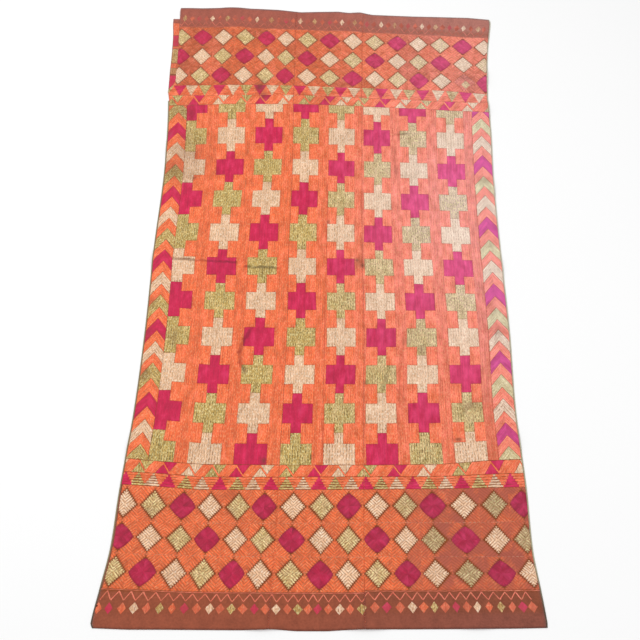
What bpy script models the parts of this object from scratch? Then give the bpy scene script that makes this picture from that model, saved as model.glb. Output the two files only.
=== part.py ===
"""Phulkari shawl laid out flat: three loom widths of handwoven khaddar seamed side by side,
a narrow edging along each long side, and a pleat at the far left corner.
Metres, +Z up. The near end faces -Y, the far end +Y, and the origin is under the middle."""

import math
from collections import namedtuple

import bmesh
import bpy
import numpy as np

COLLECTION = "phulkari_shawl"

# Driving dimensions. "Along" is measured up the middle of the cloth from the near end.
LENGTH = 2.398
MIDDLE = 1.2077  # along that stands over the origin
CLOTH_WALL = 0.0016
EDGING_WALL = 0.0021
EDGING_WIDTH = 0.0045
SEAM_GAP = 0.0003
LEFT_SEAM = -0.110  # as shares of the width, from the middle
RIGHT_SEAM = 0.101
ROWS = 54  # of mesh, the first and the last one short, for the rounded corners
CORNER_ROW = 0.016
SIDE_COLUMNS = 11
CENTRE_COLUMNS = 6

# The far left corner is pleated back under itself, so a strip of a lower layer shows there.
PLEAT_FIRST_ROW = 44
PLEAT_END = 2.338
PLEAT_UNDERLAP = 0.014
PLEAT_STEP_FLAT = 0.026  # how far the upper layer stays lifted, and where it is down again
PLEAT_STEP_FOOT = 0.105
PLEAT_ROWS = 12

# Cross-sections of the laid cloth, in metres. Skew is how much further up the right end of a
# thread lies than its left end, bow how much further both lie than its middle, and a tuck is
# the width turned under at that side.
Section = namedtuple("Section", "along left right skew bow tuck_left tuck_right")
SECTIONS = (
    Section(0.000, -0.686, 0.687, 0.018, 0.004, 0.006, 0.002),
    Section(0.020, -0.686, 0.686, 0.020, 0.003, 0.000, 0.000),
    Section(0.115, -0.672, 0.676, 0.019, 0.002, 0.000, 0.000),
    Section(0.235, -0.653, 0.662, 0.012, 0.003, 0.000, 0.000),
    Section(0.420, -0.645, 0.659, 0.024, 0.002, 0.000, 0.000),
    Section(0.684, -0.626, 0.646, 0.018, 0.001, 0.000, 0.000),
    Section(0.971, -0.618, 0.648, 0.008, 0.000, 0.000, 0.000),
    Section(1.282, -0.618, 0.641, -0.008, 0.000, 0.000, 0.000),
    Section(1.580, -0.610, 0.637, -0.020, 0.000, 0.000, 0.000),
    Section(1.806, -0.616, 0.642, -0.026, -0.001, 0.000, 0.000),
    Section(1.955, -0.626, 0.648, -0.032, -0.004, 0.000, 0.007),
    Section(1.975, -0.627, 0.649, -0.033, -0.004, 0.000, 0.009),
    Section(2.018, -0.628, 0.653, -0.035, -0.004, 0.024, 0.011),
    Section(2.060, -0.629, 0.656, -0.037, -0.004, 0.026, 0.013),
    Section(2.150, -0.629, 0.657, -0.040, -0.004, 0.025, 0.008),
    Section(2.250, -0.632, 0.660, -0.045, -0.005, 0.024, 0.001),
    Section(2.320, -0.638, 0.669, -0.049, -0.006, 0.028, 0.000),
    Section(2.380, -0.636, 0.676, -0.052, -0.007, 0.023, 0.000),
    Section(2.398, -0.634, 0.676, -0.053, -0.008, 0.023, 0.004),
)

# The largest creases: soft ridges along a line across the cloth. Across is a share of the
# width from the middle, the rest are metres. A ridge is down on the floor at its foot.
CREASE_FOOT = 1.9  # of its reach
Crease = namedtuple("Crease", "across_a along_a across_b along_b height reach")
CREASES = (
    Crease(-0.49, 1.236, -0.14, 1.222, 0.0062, 0.030),
    Crease(-0.16, 1.205, 0.30, 1.190, 0.0034, 0.036),
    Crease(0.22, 1.212, 0.49, 1.222, 0.0040, 0.034),
    Crease(-0.215, 1.010, -0.240, 0.865, 0.0052, 0.030),
    Crease(-0.175, 0.770, -0.225, 0.660, 0.0038, 0.030),
    Crease(0.30, 0.640, 0.49, 0.575, 0.0036, 0.034),
    Crease(-0.49, 0.560, -0.29, 0.612, 0.0036, 0.034),
    Crease(-0.123, 0.000, -0.112, 0.200, 0.0050, 0.036),
    Crease(0.105, 0.000, 0.130, 0.150, 0.0056, 0.040),
    Crease(0.345, 0.000, 0.330, 0.120, 0.0034, 0.036),
    Crease(0.49, 2.085, 0.33, 2.030, 0.0060, 0.036),
    Crease(0.49, 1.930, 0.40, 1.880, 0.0044, 0.032),
    Crease(0.070, 2.398, 0.055, 2.280, 0.0040, 0.034),
    Crease(-0.31, 2.398, -0.29, 2.250, 0.0044, 0.038),
    Crease(0.42, 1.500, 0.49, 1.560, 0.0036, 0.030),
    Crease(-0.49, 1.700, -0.42, 1.640, 0.0034, 0.030),
)

# How the two ends wave in and out, in metres, at these shares of the width.
EndWave = namedtuple("EndWave", "across near far")
END_WAVES = (
    EndWave(-0.50, 0.005, -0.003),
    EndWave(-0.42, 0.002, 0.000),
    EndWave(-0.34, 0.003, 0.006),
    EndWave(-0.24, 0.003, 0.005),
    EndWave(-0.17, 0.003, 0.003),
    EndWave(-0.10, 0.006, -0.006),
    EndWave(-0.05, 0.001, -0.001),
    EndWave(0.02, 0.001, 0.005),
    EndWave(0.055, 0.004, -0.003),
    EndWave(0.09, 0.006, 0.003),
    EndWave(0.13, 0.006, -0.005),
    EndWave(0.25, 0.006, -0.004),
    EndWave(0.36, 0.006, 0.001),
    EndWave(0.43, 0.006, 0.004),
    EndWave(0.50, 0.007, 0.000),
)
END_WAVE_REACH = 0.035


def station(row):
    """How far along a row of the mesh lies."""
    if row in (0, ROWS):
        return LENGTH * row / ROWS
    return CORNER_ROW + (LENGTH - 2 * CORNER_ROW) * (row - 1) / (ROWS - 2)


PLEAT_START = station(PLEAT_FIRST_ROW)
EDGING_LAST_ROW = PLEAT_FIRST_ROW - 1


def smooth_step(share):
    share = min(max(share, 0.0), 1.0)
    return share * share * (3.0 - 2.0 * share)


def section_at(along):
    """The cross-section at any point along, on a smooth curve through the table's rows."""
    along = min(max(along, SECTIONS[0].along), SECTIONS[-1].along)
    after = next(i for i in range(1, len(SECTIONS)) if along <= SECTIONS[i].along)
    a, b = SECTIONS[after - 1], SECTIONS[after]
    before_a, after_b = SECTIONS[max(after - 2, 0)], SECTIONS[min(after + 1, len(SECTIONS) - 1)]
    span = b.along - a.along
    t = (along - a.along) / span
    values = []
    for field in Section._fields:
        va, vb = getattr(a, field), getattr(b, field)
        slope_a = (vb - getattr(before_a, field)) / (b.along - before_a.along) * span
        slope_b = (getattr(after_b, field) - va) / (after_b.along - a.along) * span
        values.append(
            va * (1 + 2 * t) * (1 - t) ** 2
            + slope_a * t * (1 - t) ** 2
            + vb * t * t * (3 - 2 * t)
            - slope_b * t * t * (1 - t)
        )
    return Section(*values)


def outline(side, along):
    """x of the cloth's outline at this section: side is -1 on the left and 1 on the right."""
    section = section_at(along)
    if side < 0:
        return section.left + section.tuck_left
    return section.right - section.tuck_right


def across_of(x, along):
    section = section_at(along)
    return (x - (section.left + section.right) / 2) / (section.right - section.left)


def x_of(across, along):
    section = section_at(along)
    return (section.left + section.right) / 2 + across * (section.right - section.left)


def end_wave(across, along):
    """How far the waving ends carry the cloth with them."""
    shares = [wave.across for wave in END_WAVES]
    near = np.interp(across, shares, [wave.near for wave in END_WAVES])
    far = np.interp(across, shares, [wave.far for wave in END_WAVES])
    near_share = max(1 - along / END_WAVE_REACH, 0)
    far_share = max(1 - (LENGTH - along) / END_WAVE_REACH, 0)
    return near * near_share + far * far_share


def y_of(x, along):
    section = section_at(along)
    across = across_of(x, along)
    y = along - MIDDLE + section.skew * across + section.bow * (2 * across) ** 2
    return y + end_wave(across, along)


def crease_height(x, along):
    """How far the creases lift the cloth off the floor."""
    height = 0.0
    for crease in CREASES:
        ax, bx = x_of(crease.across_a, crease.along_a), x_of(crease.across_b, crease.along_b)
        run_x, run_y = bx - ax, crease.along_b - crease.along_a
        length = math.hypot(run_x, run_y)
        share = ((x - ax) * run_x + (along - crease.along_a) * run_y) / length**2
        off = abs((x - ax) * run_y - (along - crease.along_a) * run_x) / length
        beyond = max(-share, share - 1.0, 0.0) * length
        away = math.hypot(off, beyond) / (CREASE_FOOT * crease.reach)
        height += crease.height * max(1.0 - away**2, 0.0) ** 2
    return height


def pleat_lift(x, along):
    """The upper layer's lift over the pleat, highest at its folded edge."""
    before = station(EDGING_LAST_ROW)
    started = smooth_step((along - before) / (PLEAT_START - before))
    inside = x - outline(-1, along)
    down = smooth_step((PLEAT_STEP_FOOT - inside) / (PLEAT_STEP_FOOT - PLEAT_STEP_FLAT))
    return (CLOTH_WALL + SEAM_GAP) * started * down


FINISHES = {
    "khaddar_left": (0.69, 0.19, 0.09),
    "khaddar_centre": (0.72, 0.22, 0.10),
    "khaddar_right": (0.66, 0.18, 0.10),
    "pleat_cloth": (0.55, 0.16, 0.10),
    "edging_thread": (0.32, 0.28, 0.20),
}


def finish(name):
    """A plain cloth finish in the piece's own colour."""
    colour = FINISHES[name]
    material = bpy.data.materials.new(name)
    material.use_nodes = True
    shader = material.node_tree.nodes["Principled BSDF"]
    shader.inputs["Base Color"].default_value = (*colour, 1.0)
    shader.inputs["Roughness"].default_value = 0.85
    shader.inputs["Metallic"].default_value = 0.0
    return material


def cloth_piece(name, finish_name, columns, rows, place, wall):
    """A grid laid out by place(share across, row), given its wall upwards."""
    bm = bmesh.new()
    bmesh.ops.create_grid(bm, x_segments=columns, y_segments=rows, size=0.5)
    for vertex in bm.verts:
        vertex.co = place(vertex.co.x + 0.5, round((vertex.co.y + 0.5) * rows))
    bmesh.ops.recalc_face_normals(bm, faces=bm.faces)
    if sum(face.normal.z for face in bm.faces) < 0:
        bmesh.ops.reverse_faces(bm, faces=bm.faces)
    mesh = bpy.data.meshes.new(name)
    bm.to_mesh(mesh)
    bm.free()
    mesh.materials.append(finish(finish_name))
    piece = bpy.data.objects.new(name, mesh)
    bpy.data.collections[COLLECTION].objects.link(piece)
    solidify = piece.modifiers.new("wall", "SOLIDIFY")
    solidify.thickness = wall
    solidify.offset = 1.0
    return piece


def panel(name, finish_name, columns, left_edge, right_edge):
    """One loom width, between two edges given as functions of along."""

    def place(share_across, row):
        along = station(row)
        left, right = left_edge(along), right_edge(along)
        x = left + (right - left) * share_across
        return (x, y_of(x, along), crease_height(x, along) + pleat_lift(x, along))

    return cloth_piece(name, finish_name, columns, ROWS, place, CLOTH_WALL)


def edging(name, side, rows):
    """The overcast strip along one long side, over this many rows from the near end."""

    def place(share_across, row):
        along = station(row)
        outer = outline(side, along)
        inner = outer - side * EDGING_WIDTH
        left, right = min(outer, inner), max(outer, inner)
        x = left + (right - left) * share_across
        return (x, y_of(x, along), crease_height(x, along))

    return cloth_piece(name, "edging_thread", 1, rows, place, EDGING_WALL)


def pleat():
    """The lower layer of the far left pleat, from the outline to just under the upper layer."""

    def place(share_across, row):
        along = PLEAT_START + (PLEAT_END - PLEAT_START) * row / PLEAT_ROWS
        left = section_at(along).left
        right = outline(-1, along) + PLEAT_UNDERLAP
        x = left + (right - left) * share_across
        return (x, y_of(x, along), 0.0)

    return cloth_piece("left_pleat", "pleat_cloth", 2, PLEAT_ROWS, place, CLOTH_WALL)


for old in list(bpy.data.objects):
    bpy.data.objects.remove(old, do_unlink=True)
shawl = bpy.data.collections.new(COLLECTION)
bpy.context.scene.collection.children.link(shawl)

INSIDE_EDGING = EDGING_WIDTH + SEAM_GAP
HALF_GAP = SEAM_GAP / 2


def beside_left_edging(along):
    return outline(-1, along) + (INSIDE_EDGING if along < PLEAT_START else 0.0)


def left_seam(along):
    return x_of(LEFT_SEAM, along)


def right_seam(along):
    return x_of(RIGHT_SEAM, along)


panel(
    "left_panel",
    "khaddar_left",
    SIDE_COLUMNS,
    beside_left_edging,
    lambda along: left_seam(along) - HALF_GAP,
)
panel(
    "centre_panel",
    "khaddar_centre",
    CENTRE_COLUMNS,
    lambda along: left_seam(along) + HALF_GAP,
    lambda along: right_seam(along) - HALF_GAP,
)
panel(
    "right_panel",
    "khaddar_right",
    SIDE_COLUMNS,
    lambda along: right_seam(along) + HALF_GAP,
    lambda along: outline(1, along) - INSIDE_EDGING,
)
edging("left_edging", -1, EDGING_LAST_ROW)
edging("right_edging", 1, ROWS)
pleat()
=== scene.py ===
"""Looks of a phulkari shawl laid out flat: rust khaddar in three loom widths, darned nearly all
over in silk floss with crosses, diamonds, chevrons and triangles. Metres, in the row frame."""

import math
import random
from collections import namedtuple

import bmesh
import bpy
import numpy as np
from mathutils import Matrix, Vector


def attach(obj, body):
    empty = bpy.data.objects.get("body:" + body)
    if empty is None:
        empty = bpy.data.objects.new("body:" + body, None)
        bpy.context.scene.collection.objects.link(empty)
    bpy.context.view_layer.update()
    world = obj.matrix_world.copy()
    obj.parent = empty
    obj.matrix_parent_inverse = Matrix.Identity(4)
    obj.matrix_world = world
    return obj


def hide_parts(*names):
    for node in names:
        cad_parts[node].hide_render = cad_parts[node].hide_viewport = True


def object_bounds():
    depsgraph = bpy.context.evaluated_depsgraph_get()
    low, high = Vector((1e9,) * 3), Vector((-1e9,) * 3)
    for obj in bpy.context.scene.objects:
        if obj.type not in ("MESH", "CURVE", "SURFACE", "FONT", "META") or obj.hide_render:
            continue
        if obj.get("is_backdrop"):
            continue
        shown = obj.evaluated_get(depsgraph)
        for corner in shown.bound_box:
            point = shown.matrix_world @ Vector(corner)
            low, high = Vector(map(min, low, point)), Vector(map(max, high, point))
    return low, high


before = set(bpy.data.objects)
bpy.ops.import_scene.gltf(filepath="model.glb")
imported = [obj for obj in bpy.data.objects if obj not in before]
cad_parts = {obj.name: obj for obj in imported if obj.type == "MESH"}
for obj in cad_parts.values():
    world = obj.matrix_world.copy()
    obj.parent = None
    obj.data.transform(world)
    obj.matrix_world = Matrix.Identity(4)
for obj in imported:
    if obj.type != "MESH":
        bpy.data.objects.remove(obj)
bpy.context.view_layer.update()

# ---------------------------------------------------------------- khaddar
# The ground is handspun, handwoven cotton dyed rust brown, in three loom widths seamed side by
# side. It lies loosely on the floor, creased here and there, and pleated back at its far left
# corner.

# The cloth as it lies is one surface, drawn by cross-sections along its length. "Across" is a
# share of the width from the middle, "along" is metres up the middle from the near end. Every
# piece of cloth or needlework is worked flat in these two and then laid on that surface.

LENGTH = 2.398
MIDDLE = 1.2077
FLAT_WIDTH = 1.28  # of the needlework while it is worked flat
LEFT_SEAM = -0.110
RIGHT_SEAM = 0.101
SEAM_GAP = 0.0003
EDGING_WIDTH = 0.0045
INSIDE_EDGING = EDGING_WIDTH + SEAM_GAP
PLEAT_START = 1.9725
PLEAT_RISE = 0.0455  # over which the upper layer climbs onto the pleat
PLEAT_END = 2.338
PLEAT_HEIGHT = 0.0019
PLEAT_STEP_FLAT = 0.026
PLEAT_STEP_FOOT = 0.105
KHADDAR_WALL = 0.0011

Section = namedtuple("Section", "along left right skew bow tuck_left tuck_right")
SECTIONS = (
    Section(0.000, -0.686, 0.687, 0.018, 0.004, 0.006, 0.002),
    Section(0.020, -0.686, 0.686, 0.020, 0.003, 0.000, 0.000),
    Section(0.115, -0.672, 0.676, 0.019, 0.002, 0.000, 0.000),
    Section(0.235, -0.653, 0.662, 0.012, 0.003, 0.000, 0.000),
    Section(0.420, -0.645, 0.659, 0.024, 0.002, 0.000, 0.000),
    Section(0.684, -0.626, 0.646, 0.018, 0.001, 0.000, 0.000),
    Section(0.971, -0.618, 0.648, 0.008, 0.000, 0.000, 0.000),
    Section(1.282, -0.618, 0.641, -0.008, 0.000, 0.000, 0.000),
    Section(1.580, -0.610, 0.637, -0.020, 0.000, 0.000, 0.000),
    Section(1.806, -0.616, 0.642, -0.026, -0.001, 0.000, 0.000),
    Section(1.955, -0.626, 0.648, -0.032, -0.004, 0.000, 0.007),
    Section(1.975, -0.627, 0.649, -0.033, -0.004, 0.000, 0.009),
    Section(2.018, -0.628, 0.653, -0.035, -0.004, 0.024, 0.011),
    Section(2.060, -0.629, 0.656, -0.037, -0.004, 0.026, 0.013),
    Section(2.150, -0.629, 0.657, -0.040, -0.004, 0.025, 0.008),
    Section(2.250, -0.632, 0.660, -0.045, -0.005, 0.024, 0.001),
    Section(2.320, -0.638, 0.669, -0.049, -0.006, 0.028, 0.000),
    Section(2.380, -0.636, 0.676, -0.052, -0.007, 0.023, 0.000),
    Section(2.398, -0.634, 0.676, -0.053, -0.008, 0.023, 0.004),
)

# Creases are soft ridges along a line: the first sixteen are the large ones, the rest are fine.
CREASE_FOOT = 1.9
Crease = namedtuple("Crease", "across_a along_a across_b along_b height reach")
CREASES = (
    Crease(-0.49, 1.236, -0.14, 1.222, 0.0062, 0.030),
    Crease(-0.16, 1.205, 0.30, 1.190, 0.0034, 0.036),
    Crease(0.22, 1.212, 0.49, 1.222, 0.0040, 0.034),
    Crease(-0.215, 1.010, -0.240, 0.865, 0.0052, 0.030),
    Crease(-0.175, 0.770, -0.225, 0.660, 0.0038, 0.030),
    Crease(0.30, 0.640, 0.49, 0.575, 0.0036, 0.034),
    Crease(-0.49, 0.560, -0.29, 0.612, 0.0036, 0.034),
    Crease(-0.123, 0.000, -0.112, 0.200, 0.0050, 0.036),
    Crease(0.105, 0.000, 0.130, 0.150, 0.0056, 0.040),
    Crease(0.345, 0.000, 0.330, 0.120, 0.0034, 0.036),
    Crease(0.49, 2.085, 0.33, 2.030, 0.0060, 0.036),
    Crease(0.49, 1.930, 0.40, 1.880, 0.0044, 0.032),
    Crease(0.070, 2.398, 0.055, 2.280, 0.0040, 0.034),
    Crease(-0.31, 2.398, -0.29, 2.250, 0.0044, 0.038),
    Crease(0.42, 1.500, 0.49, 1.560, 0.0036, 0.030),
    Crease(-0.49, 1.700, -0.42, 1.640, 0.0034, 0.030),
    Crease(-0.44, 1.238, -0.26, 1.234, 0.0010, 0.009),
    Crease(-0.22, 1.216, -0.15, 1.214, 0.0009, 0.009),
    Crease(-0.205, 1.010, -0.225, 0.930, 0.0010, 0.009),
    Crease(-0.225, 0.930, -0.245, 0.850, 0.0009, 0.009),
    Crease(-0.001, 0.560, -0.002, 1.560, 0.0007, 0.009),
    Crease(0.205, 0.800, 0.190, 0.560, 0.0008, 0.010),
    Crease(0.205, 1.020, 0.225, 0.780, 0.0007, 0.010),
)

# How the two ends wave in and out, in metres, at these shares of the width.
EndWave = namedtuple("EndWave", "across near far")
END_WAVES = (
    EndWave(-0.50, 0.005, -0.003),
    EndWave(-0.42, 0.002, 0.000),
    EndWave(-0.34, 0.003, 0.006),
    EndWave(-0.24, 0.003, 0.005),
    EndWave(-0.17, 0.003, 0.003),
    EndWave(-0.10, 0.006, -0.006),
    EndWave(-0.05, 0.001, -0.001),
    EndWave(0.02, 0.001, 0.005),
    EndWave(0.055, 0.004, -0.003),
    EndWave(0.09, 0.006, 0.003),
    EndWave(0.13, 0.006, -0.005),
    EndWave(0.25, 0.006, -0.004),
    EndWave(0.36, 0.006, 0.001),
    EndWave(0.43, 0.006, 0.004),
    EndWave(0.50, 0.007, 0.000),
)
END_WAVE_REACH = 0.035


def section_at(along):
    """The cross-section at any point along, on a smooth curve through the table's rows."""
    after = next(i for i in range(1, len(SECTIONS)) if along <= SECTIONS[i].along)
    a, b = SECTIONS[after - 1], SECTIONS[after]
    before_a, after_b = SECTIONS[max(after - 2, 0)], SECTIONS[min(after + 1, len(SECTIONS) - 1)]
    span = b.along - a.along
    t = (along - a.along) / span
    values = []
    for field in Section._fields:
        va, vb = getattr(a, field), getattr(b, field)
        slope_a = (vb - getattr(before_a, field)) / (b.along - before_a.along) * span
        slope_b = (getattr(after_b, field) - va) / (after_b.along - a.along) * span
        values.append(
            va * (1 + 2 * t) * (1 - t) ** 2
            + slope_a * t * (1 - t) ** 2
            + vb * t * t * (3 - 2 * t)
            - slope_b * t * t * (1 - t)
        )
    return Section(*values)


STATIONS = np.linspace(0.0, LENGTH, 1200)
PLAN = Section(*np.array([section_at(along) for along in STATIONS]).T)


def plan(field, along):
    return np.interp(along, STATIONS, getattr(PLAN, field))


def x_of(across, along):
    left, right = plan("left", along), plan("right", along)
    return (left + right) / 2 + across * (right - left)


def across_of(x, along):
    left, right = plan("left", along), plan("right", along)
    return (x - (left + right) / 2) / (right - left)


def outline(side, along):
    """x of the cloth's outline: side is -1 on the left and 1 on the right."""
    if side < 0:
        return plan("left", along) + plan("tuck_left", along)
    return plan("right", along) - plan("tuck_right", along)


def smooth_step(share):
    share = np.clip(share, 0.0, 1.0)
    return share * share * (3.0 - 2.0 * share)


def beside(crease, x, along):
    """How far points lie from a crease's line, in metres."""
    ax, bx = x_of(crease.across_a, crease.along_a), x_of(crease.across_b, crease.along_b)
    run_x, run_y = bx - ax, crease.along_b - crease.along_a
    length = math.hypot(run_x, run_y)
    share = ((x - ax) * run_x + (along - crease.along_a) * run_y) / length**2
    off = np.abs((x - ax) * run_y - (along - crease.along_a) * run_x) / length
    return np.hypot(off, np.maximum(np.maximum(-share, share - 1.0), 0.0) * length)


def height_at(x, along):
    """How high the cloth's underside lies at these points, over creases and the pleat."""
    height = np.zeros_like(x)
    for crease in CREASES:
        away = beside(crease, x, along) / (CREASE_FOOT * crease.reach)
        height += crease.height * np.maximum(1.0 - away**2, 0.0) ** 2
    started = smooth_step((along - PLEAT_START + PLEAT_RISE) / PLEAT_RISE)
    inside = x - outline(-1, along)
    down = smooth_step((PLEAT_STEP_FOOT - inside) / (PLEAT_STEP_FOOT - PLEAT_STEP_FLAT))
    return height + PLEAT_HEIGHT * started * down


def end_wave(across, along):
    """How far the waving ends carry the cloth with them."""
    shares = [wave.across for wave in END_WAVES]
    near = np.interp(across, shares, [wave.near for wave in END_WAVES])
    far = np.interp(across, shares, [wave.far for wave in END_WAVES])
    near_share = np.clip(1 - along / END_WAVE_REACH, 0, 1)
    far_share = np.clip(1 - (LENGTH - along) / END_WAVE_REACH, 0, 1)
    return near * near_share + far * far_share


def lay_down(x, along, lift):
    """Points in the row frame, lift above the cloth's underside."""
    across = across_of(x, along)
    along_now = along + end_wave(across, along)
    y = along_now - MIDDLE + plan("skew", along) * across + plan("bow", along) * (2 * across) ** 2
    return np.stack([x, y, height_at(x, along) + lift], axis=1)


# Dark spots, each an oval that fades out from its middle: old stains, and painted shade on folds
# and along the left edge.
DarkSpot = namedtuple("DarkSpot", "across along width height strength")
DARK_SPOTS = (
    DarkSpot(0.086, 1.243, 0.010, 0.012, 0.85),
    DarkSpot(0.101, 1.222, 0.011, 0.013, 0.85),
    DarkSpot(0.094, 1.232, 0.024, 0.028, 0.45),
    DarkSpot(-0.425, 1.690, 0.075, 0.150, 0.30),
    DarkSpot(-0.407, 1.585, 0.008, 0.010, 0.80),
    DarkSpot(-0.430, 1.570, 0.010, 0.012, 0.50),
    DarkSpot(-0.410, 1.598, 0.030, 0.030, 0.35),
    DarkSpot(-0.470, 1.620, 0.060, 0.070, 0.45),
    DarkSpot(-0.460, 1.900, 0.060, 0.050, 0.30),
    DarkSpot(-0.485, 0.800, 0.018, 0.030, 0.45),
    DarkSpot(-0.488, 1.070, 0.016, 0.022, 0.45),
    DarkSpot(-0.490, 0.950, 0.012, 0.030, 0.30),
    DarkSpot(-0.490, 1.790, 0.012, 0.022, 0.45),
    DarkSpot(-0.418, 0.935, 0.016, 0.045, 0.35),
    DarkSpot(-0.219, 0.825, 0.008, 0.012, 0.65),
    DarkSpot(-0.150, 0.515, 0.009, 0.014, 0.70),
    DarkSpot(-0.071, 1.295, 0.010, 0.010, 0.50),
    DarkSpot(-0.168, 1.880, 0.006, 0.010, 0.60),
    DarkSpot(-0.102, 1.770, 0.008, 0.010, 0.40),
    DarkSpot(0.230, 1.800, 0.018, 0.008, 0.50),
    DarkSpot(0.203, 1.630, 0.008, 0.030, 0.45),
    DarkSpot(0.429, 1.750, 0.008, 0.014, 0.45),
    DarkSpot(0.257, 0.900, 0.010, 0.018, 0.45),
    DarkSpot(0.214, 0.930, 0.012, 0.020, 0.30),
    DarkSpot(0.385, 0.700, 0.030, 0.018, 0.35),
    DarkSpot(0.468, 1.600, 0.025, 0.020, 0.35),
    DarkSpot(0.467, 1.320, 0.025, 0.018, 0.30),
    DarkSpot(0.460, 1.050, 0.020, 0.030, 0.25),
    DarkSpot(-0.216, 2.004, 0.017, 0.024, 0.75),
    DarkSpot(-0.205, 2.030, 0.012, 0.018, 0.45),
    DarkSpot(-0.203, 1.963, 0.018, 0.022, 0.60),
    DarkSpot(0.425, 2.080, 0.040, 0.030, 0.40),
    DarkSpot(0.270, 2.190, 0.030, 0.020, 0.22),
    DarkSpot(0.002, 1.399, 0.006, 0.010, 0.80),
    DarkSpot(0.464, 0.960, 0.005, 0.012, 0.95),
    DarkSpot(0.466, 0.975, 0.020, 0.030, 0.35),
    DarkSpot(0.343, 0.580, 0.012, 0.006, 0.95),
    DarkSpot(0.105, 0.780, 0.008, 0.010, 0.60),
    DarkSpot(-0.030, 1.950, 0.090, 0.040, 0.22),
    DarkSpot(-0.231, 0.405, 0.030, 0.018, 0.30),
    DarkSpot(-0.222, 0.350, 0.018, 0.016, 0.30),
    DarkSpot(-0.420, 0.350, 0.030, 0.030, 0.22),
)
SPOT_EDGE = 1.6  # how soon a spot fades out

# The colours have washed out most to the right and towards the far end, but less in the bands
# that close it.
FADE_RIGHT, FADE_RIGHT_REACH = -0.15, 0.62  # from where across, and how far on it is full
FADE_FAR, FADE_FAR_REACH = 0.45, 1.1  # the same along
FAR_BANDS, FAR_BANDS_REACH = 1.55, 0.45
NEAR_FADE, FAR_BANDS_KEPT, FAR_BANDS_LEAST = 0.15, 0.42, 0.06


def stain_and_shade_at(x, along):
    """How dark the spots make the cloth at these points, from 0 to 1: stains and painted shade."""
    across = across_of(x, along)
    stain_and_shade = np.zeros_like(x)
    for spot in DARK_SPOTS:
        far = ((across - spot.across) / spot.width) ** 2
        far += ((along - spot.along) / spot.height) ** 2
        stain_and_shade = np.maximum(stain_and_shade, spot.strength * np.exp(-SPOT_EDGE * far))
    return stain_and_shade


def fade_at(x, along):
    """How washed out the colours are at these points, from 0 to 1."""
    to_right = smooth_step((across_of(x, along) - FADE_RIGHT) / FADE_RIGHT_REACH)
    far = smooth_step((along - FADE_FAR) / FADE_FAR_REACH)
    in_bands = smooth_step((along - FAR_BANDS) / FAR_BANDS_REACH)
    faded = to_right * (NEAR_FADE + (1 - NEAR_FADE) * far)
    return faded * (1 - FAR_BANDS_KEPT * in_bands) + FAR_BANDS_LEAST * in_bands


# A finish is a node material. A value that varies over the surface is written as arithmetic on
# Value, which adds the Math nodes, and what is the same all over is set on the shader itself.


class Value:
    """A number or colour that varies over a surface: one output socket of a finish's nodes."""

    def __init__(self, finish, socket):
        self.finish, self.socket = finish, socket

    def __add__(self, other):
        return self.finish.math("ADD", self, other)

    def __sub__(self, other):
        return self.finish.math("SUBTRACT", self, other)

    def __mul__(self, other):
        return self.finish.math("MULTIPLY", self, other)

    def __truediv__(self, other):
        return self.finish.math("DIVIDE", self, other)

    def __pow__(self, other):
        return self.finish.math("POWER", self, other)

    def __rsub__(self, other):
        return self.finish.math("SUBTRACT", other, self)

    __radd__, __rmul__ = __add__, __mul__

    def floor(self):
        return self.finish.math("FLOOR", self)

    def fraction(self):
        return self.finish.math("FRACT", self)

    def at_most(self, other):
        return self.finish.math("MINIMUM", self, other)

    def at_least(self, other):
        return self.finish.math("MAXIMUM", self, other)

    def to_whole(self):
        """How far it is from the nearest whole number, at most a half."""
        return self.finish.math("PINGPONG", self, 0.5)

    def rise(self, low, high):
        """0 below low, 1 above high and smooth between; falling if low is above high."""
        ends = {0: self, 1: low, 2: high, 3: 0.0, 4: 1.0}
        if low > high:
            ends = {0: self, 1: high, 2: low, 3: 1.0, 4: 0.0}
        return self.finish.node("ShaderNodeMapRange", {"interpolation_type": "SMOOTHSTEP"}, ends)


RELIEF = 0.0004  # how deep threads stand in their own shading


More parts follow.
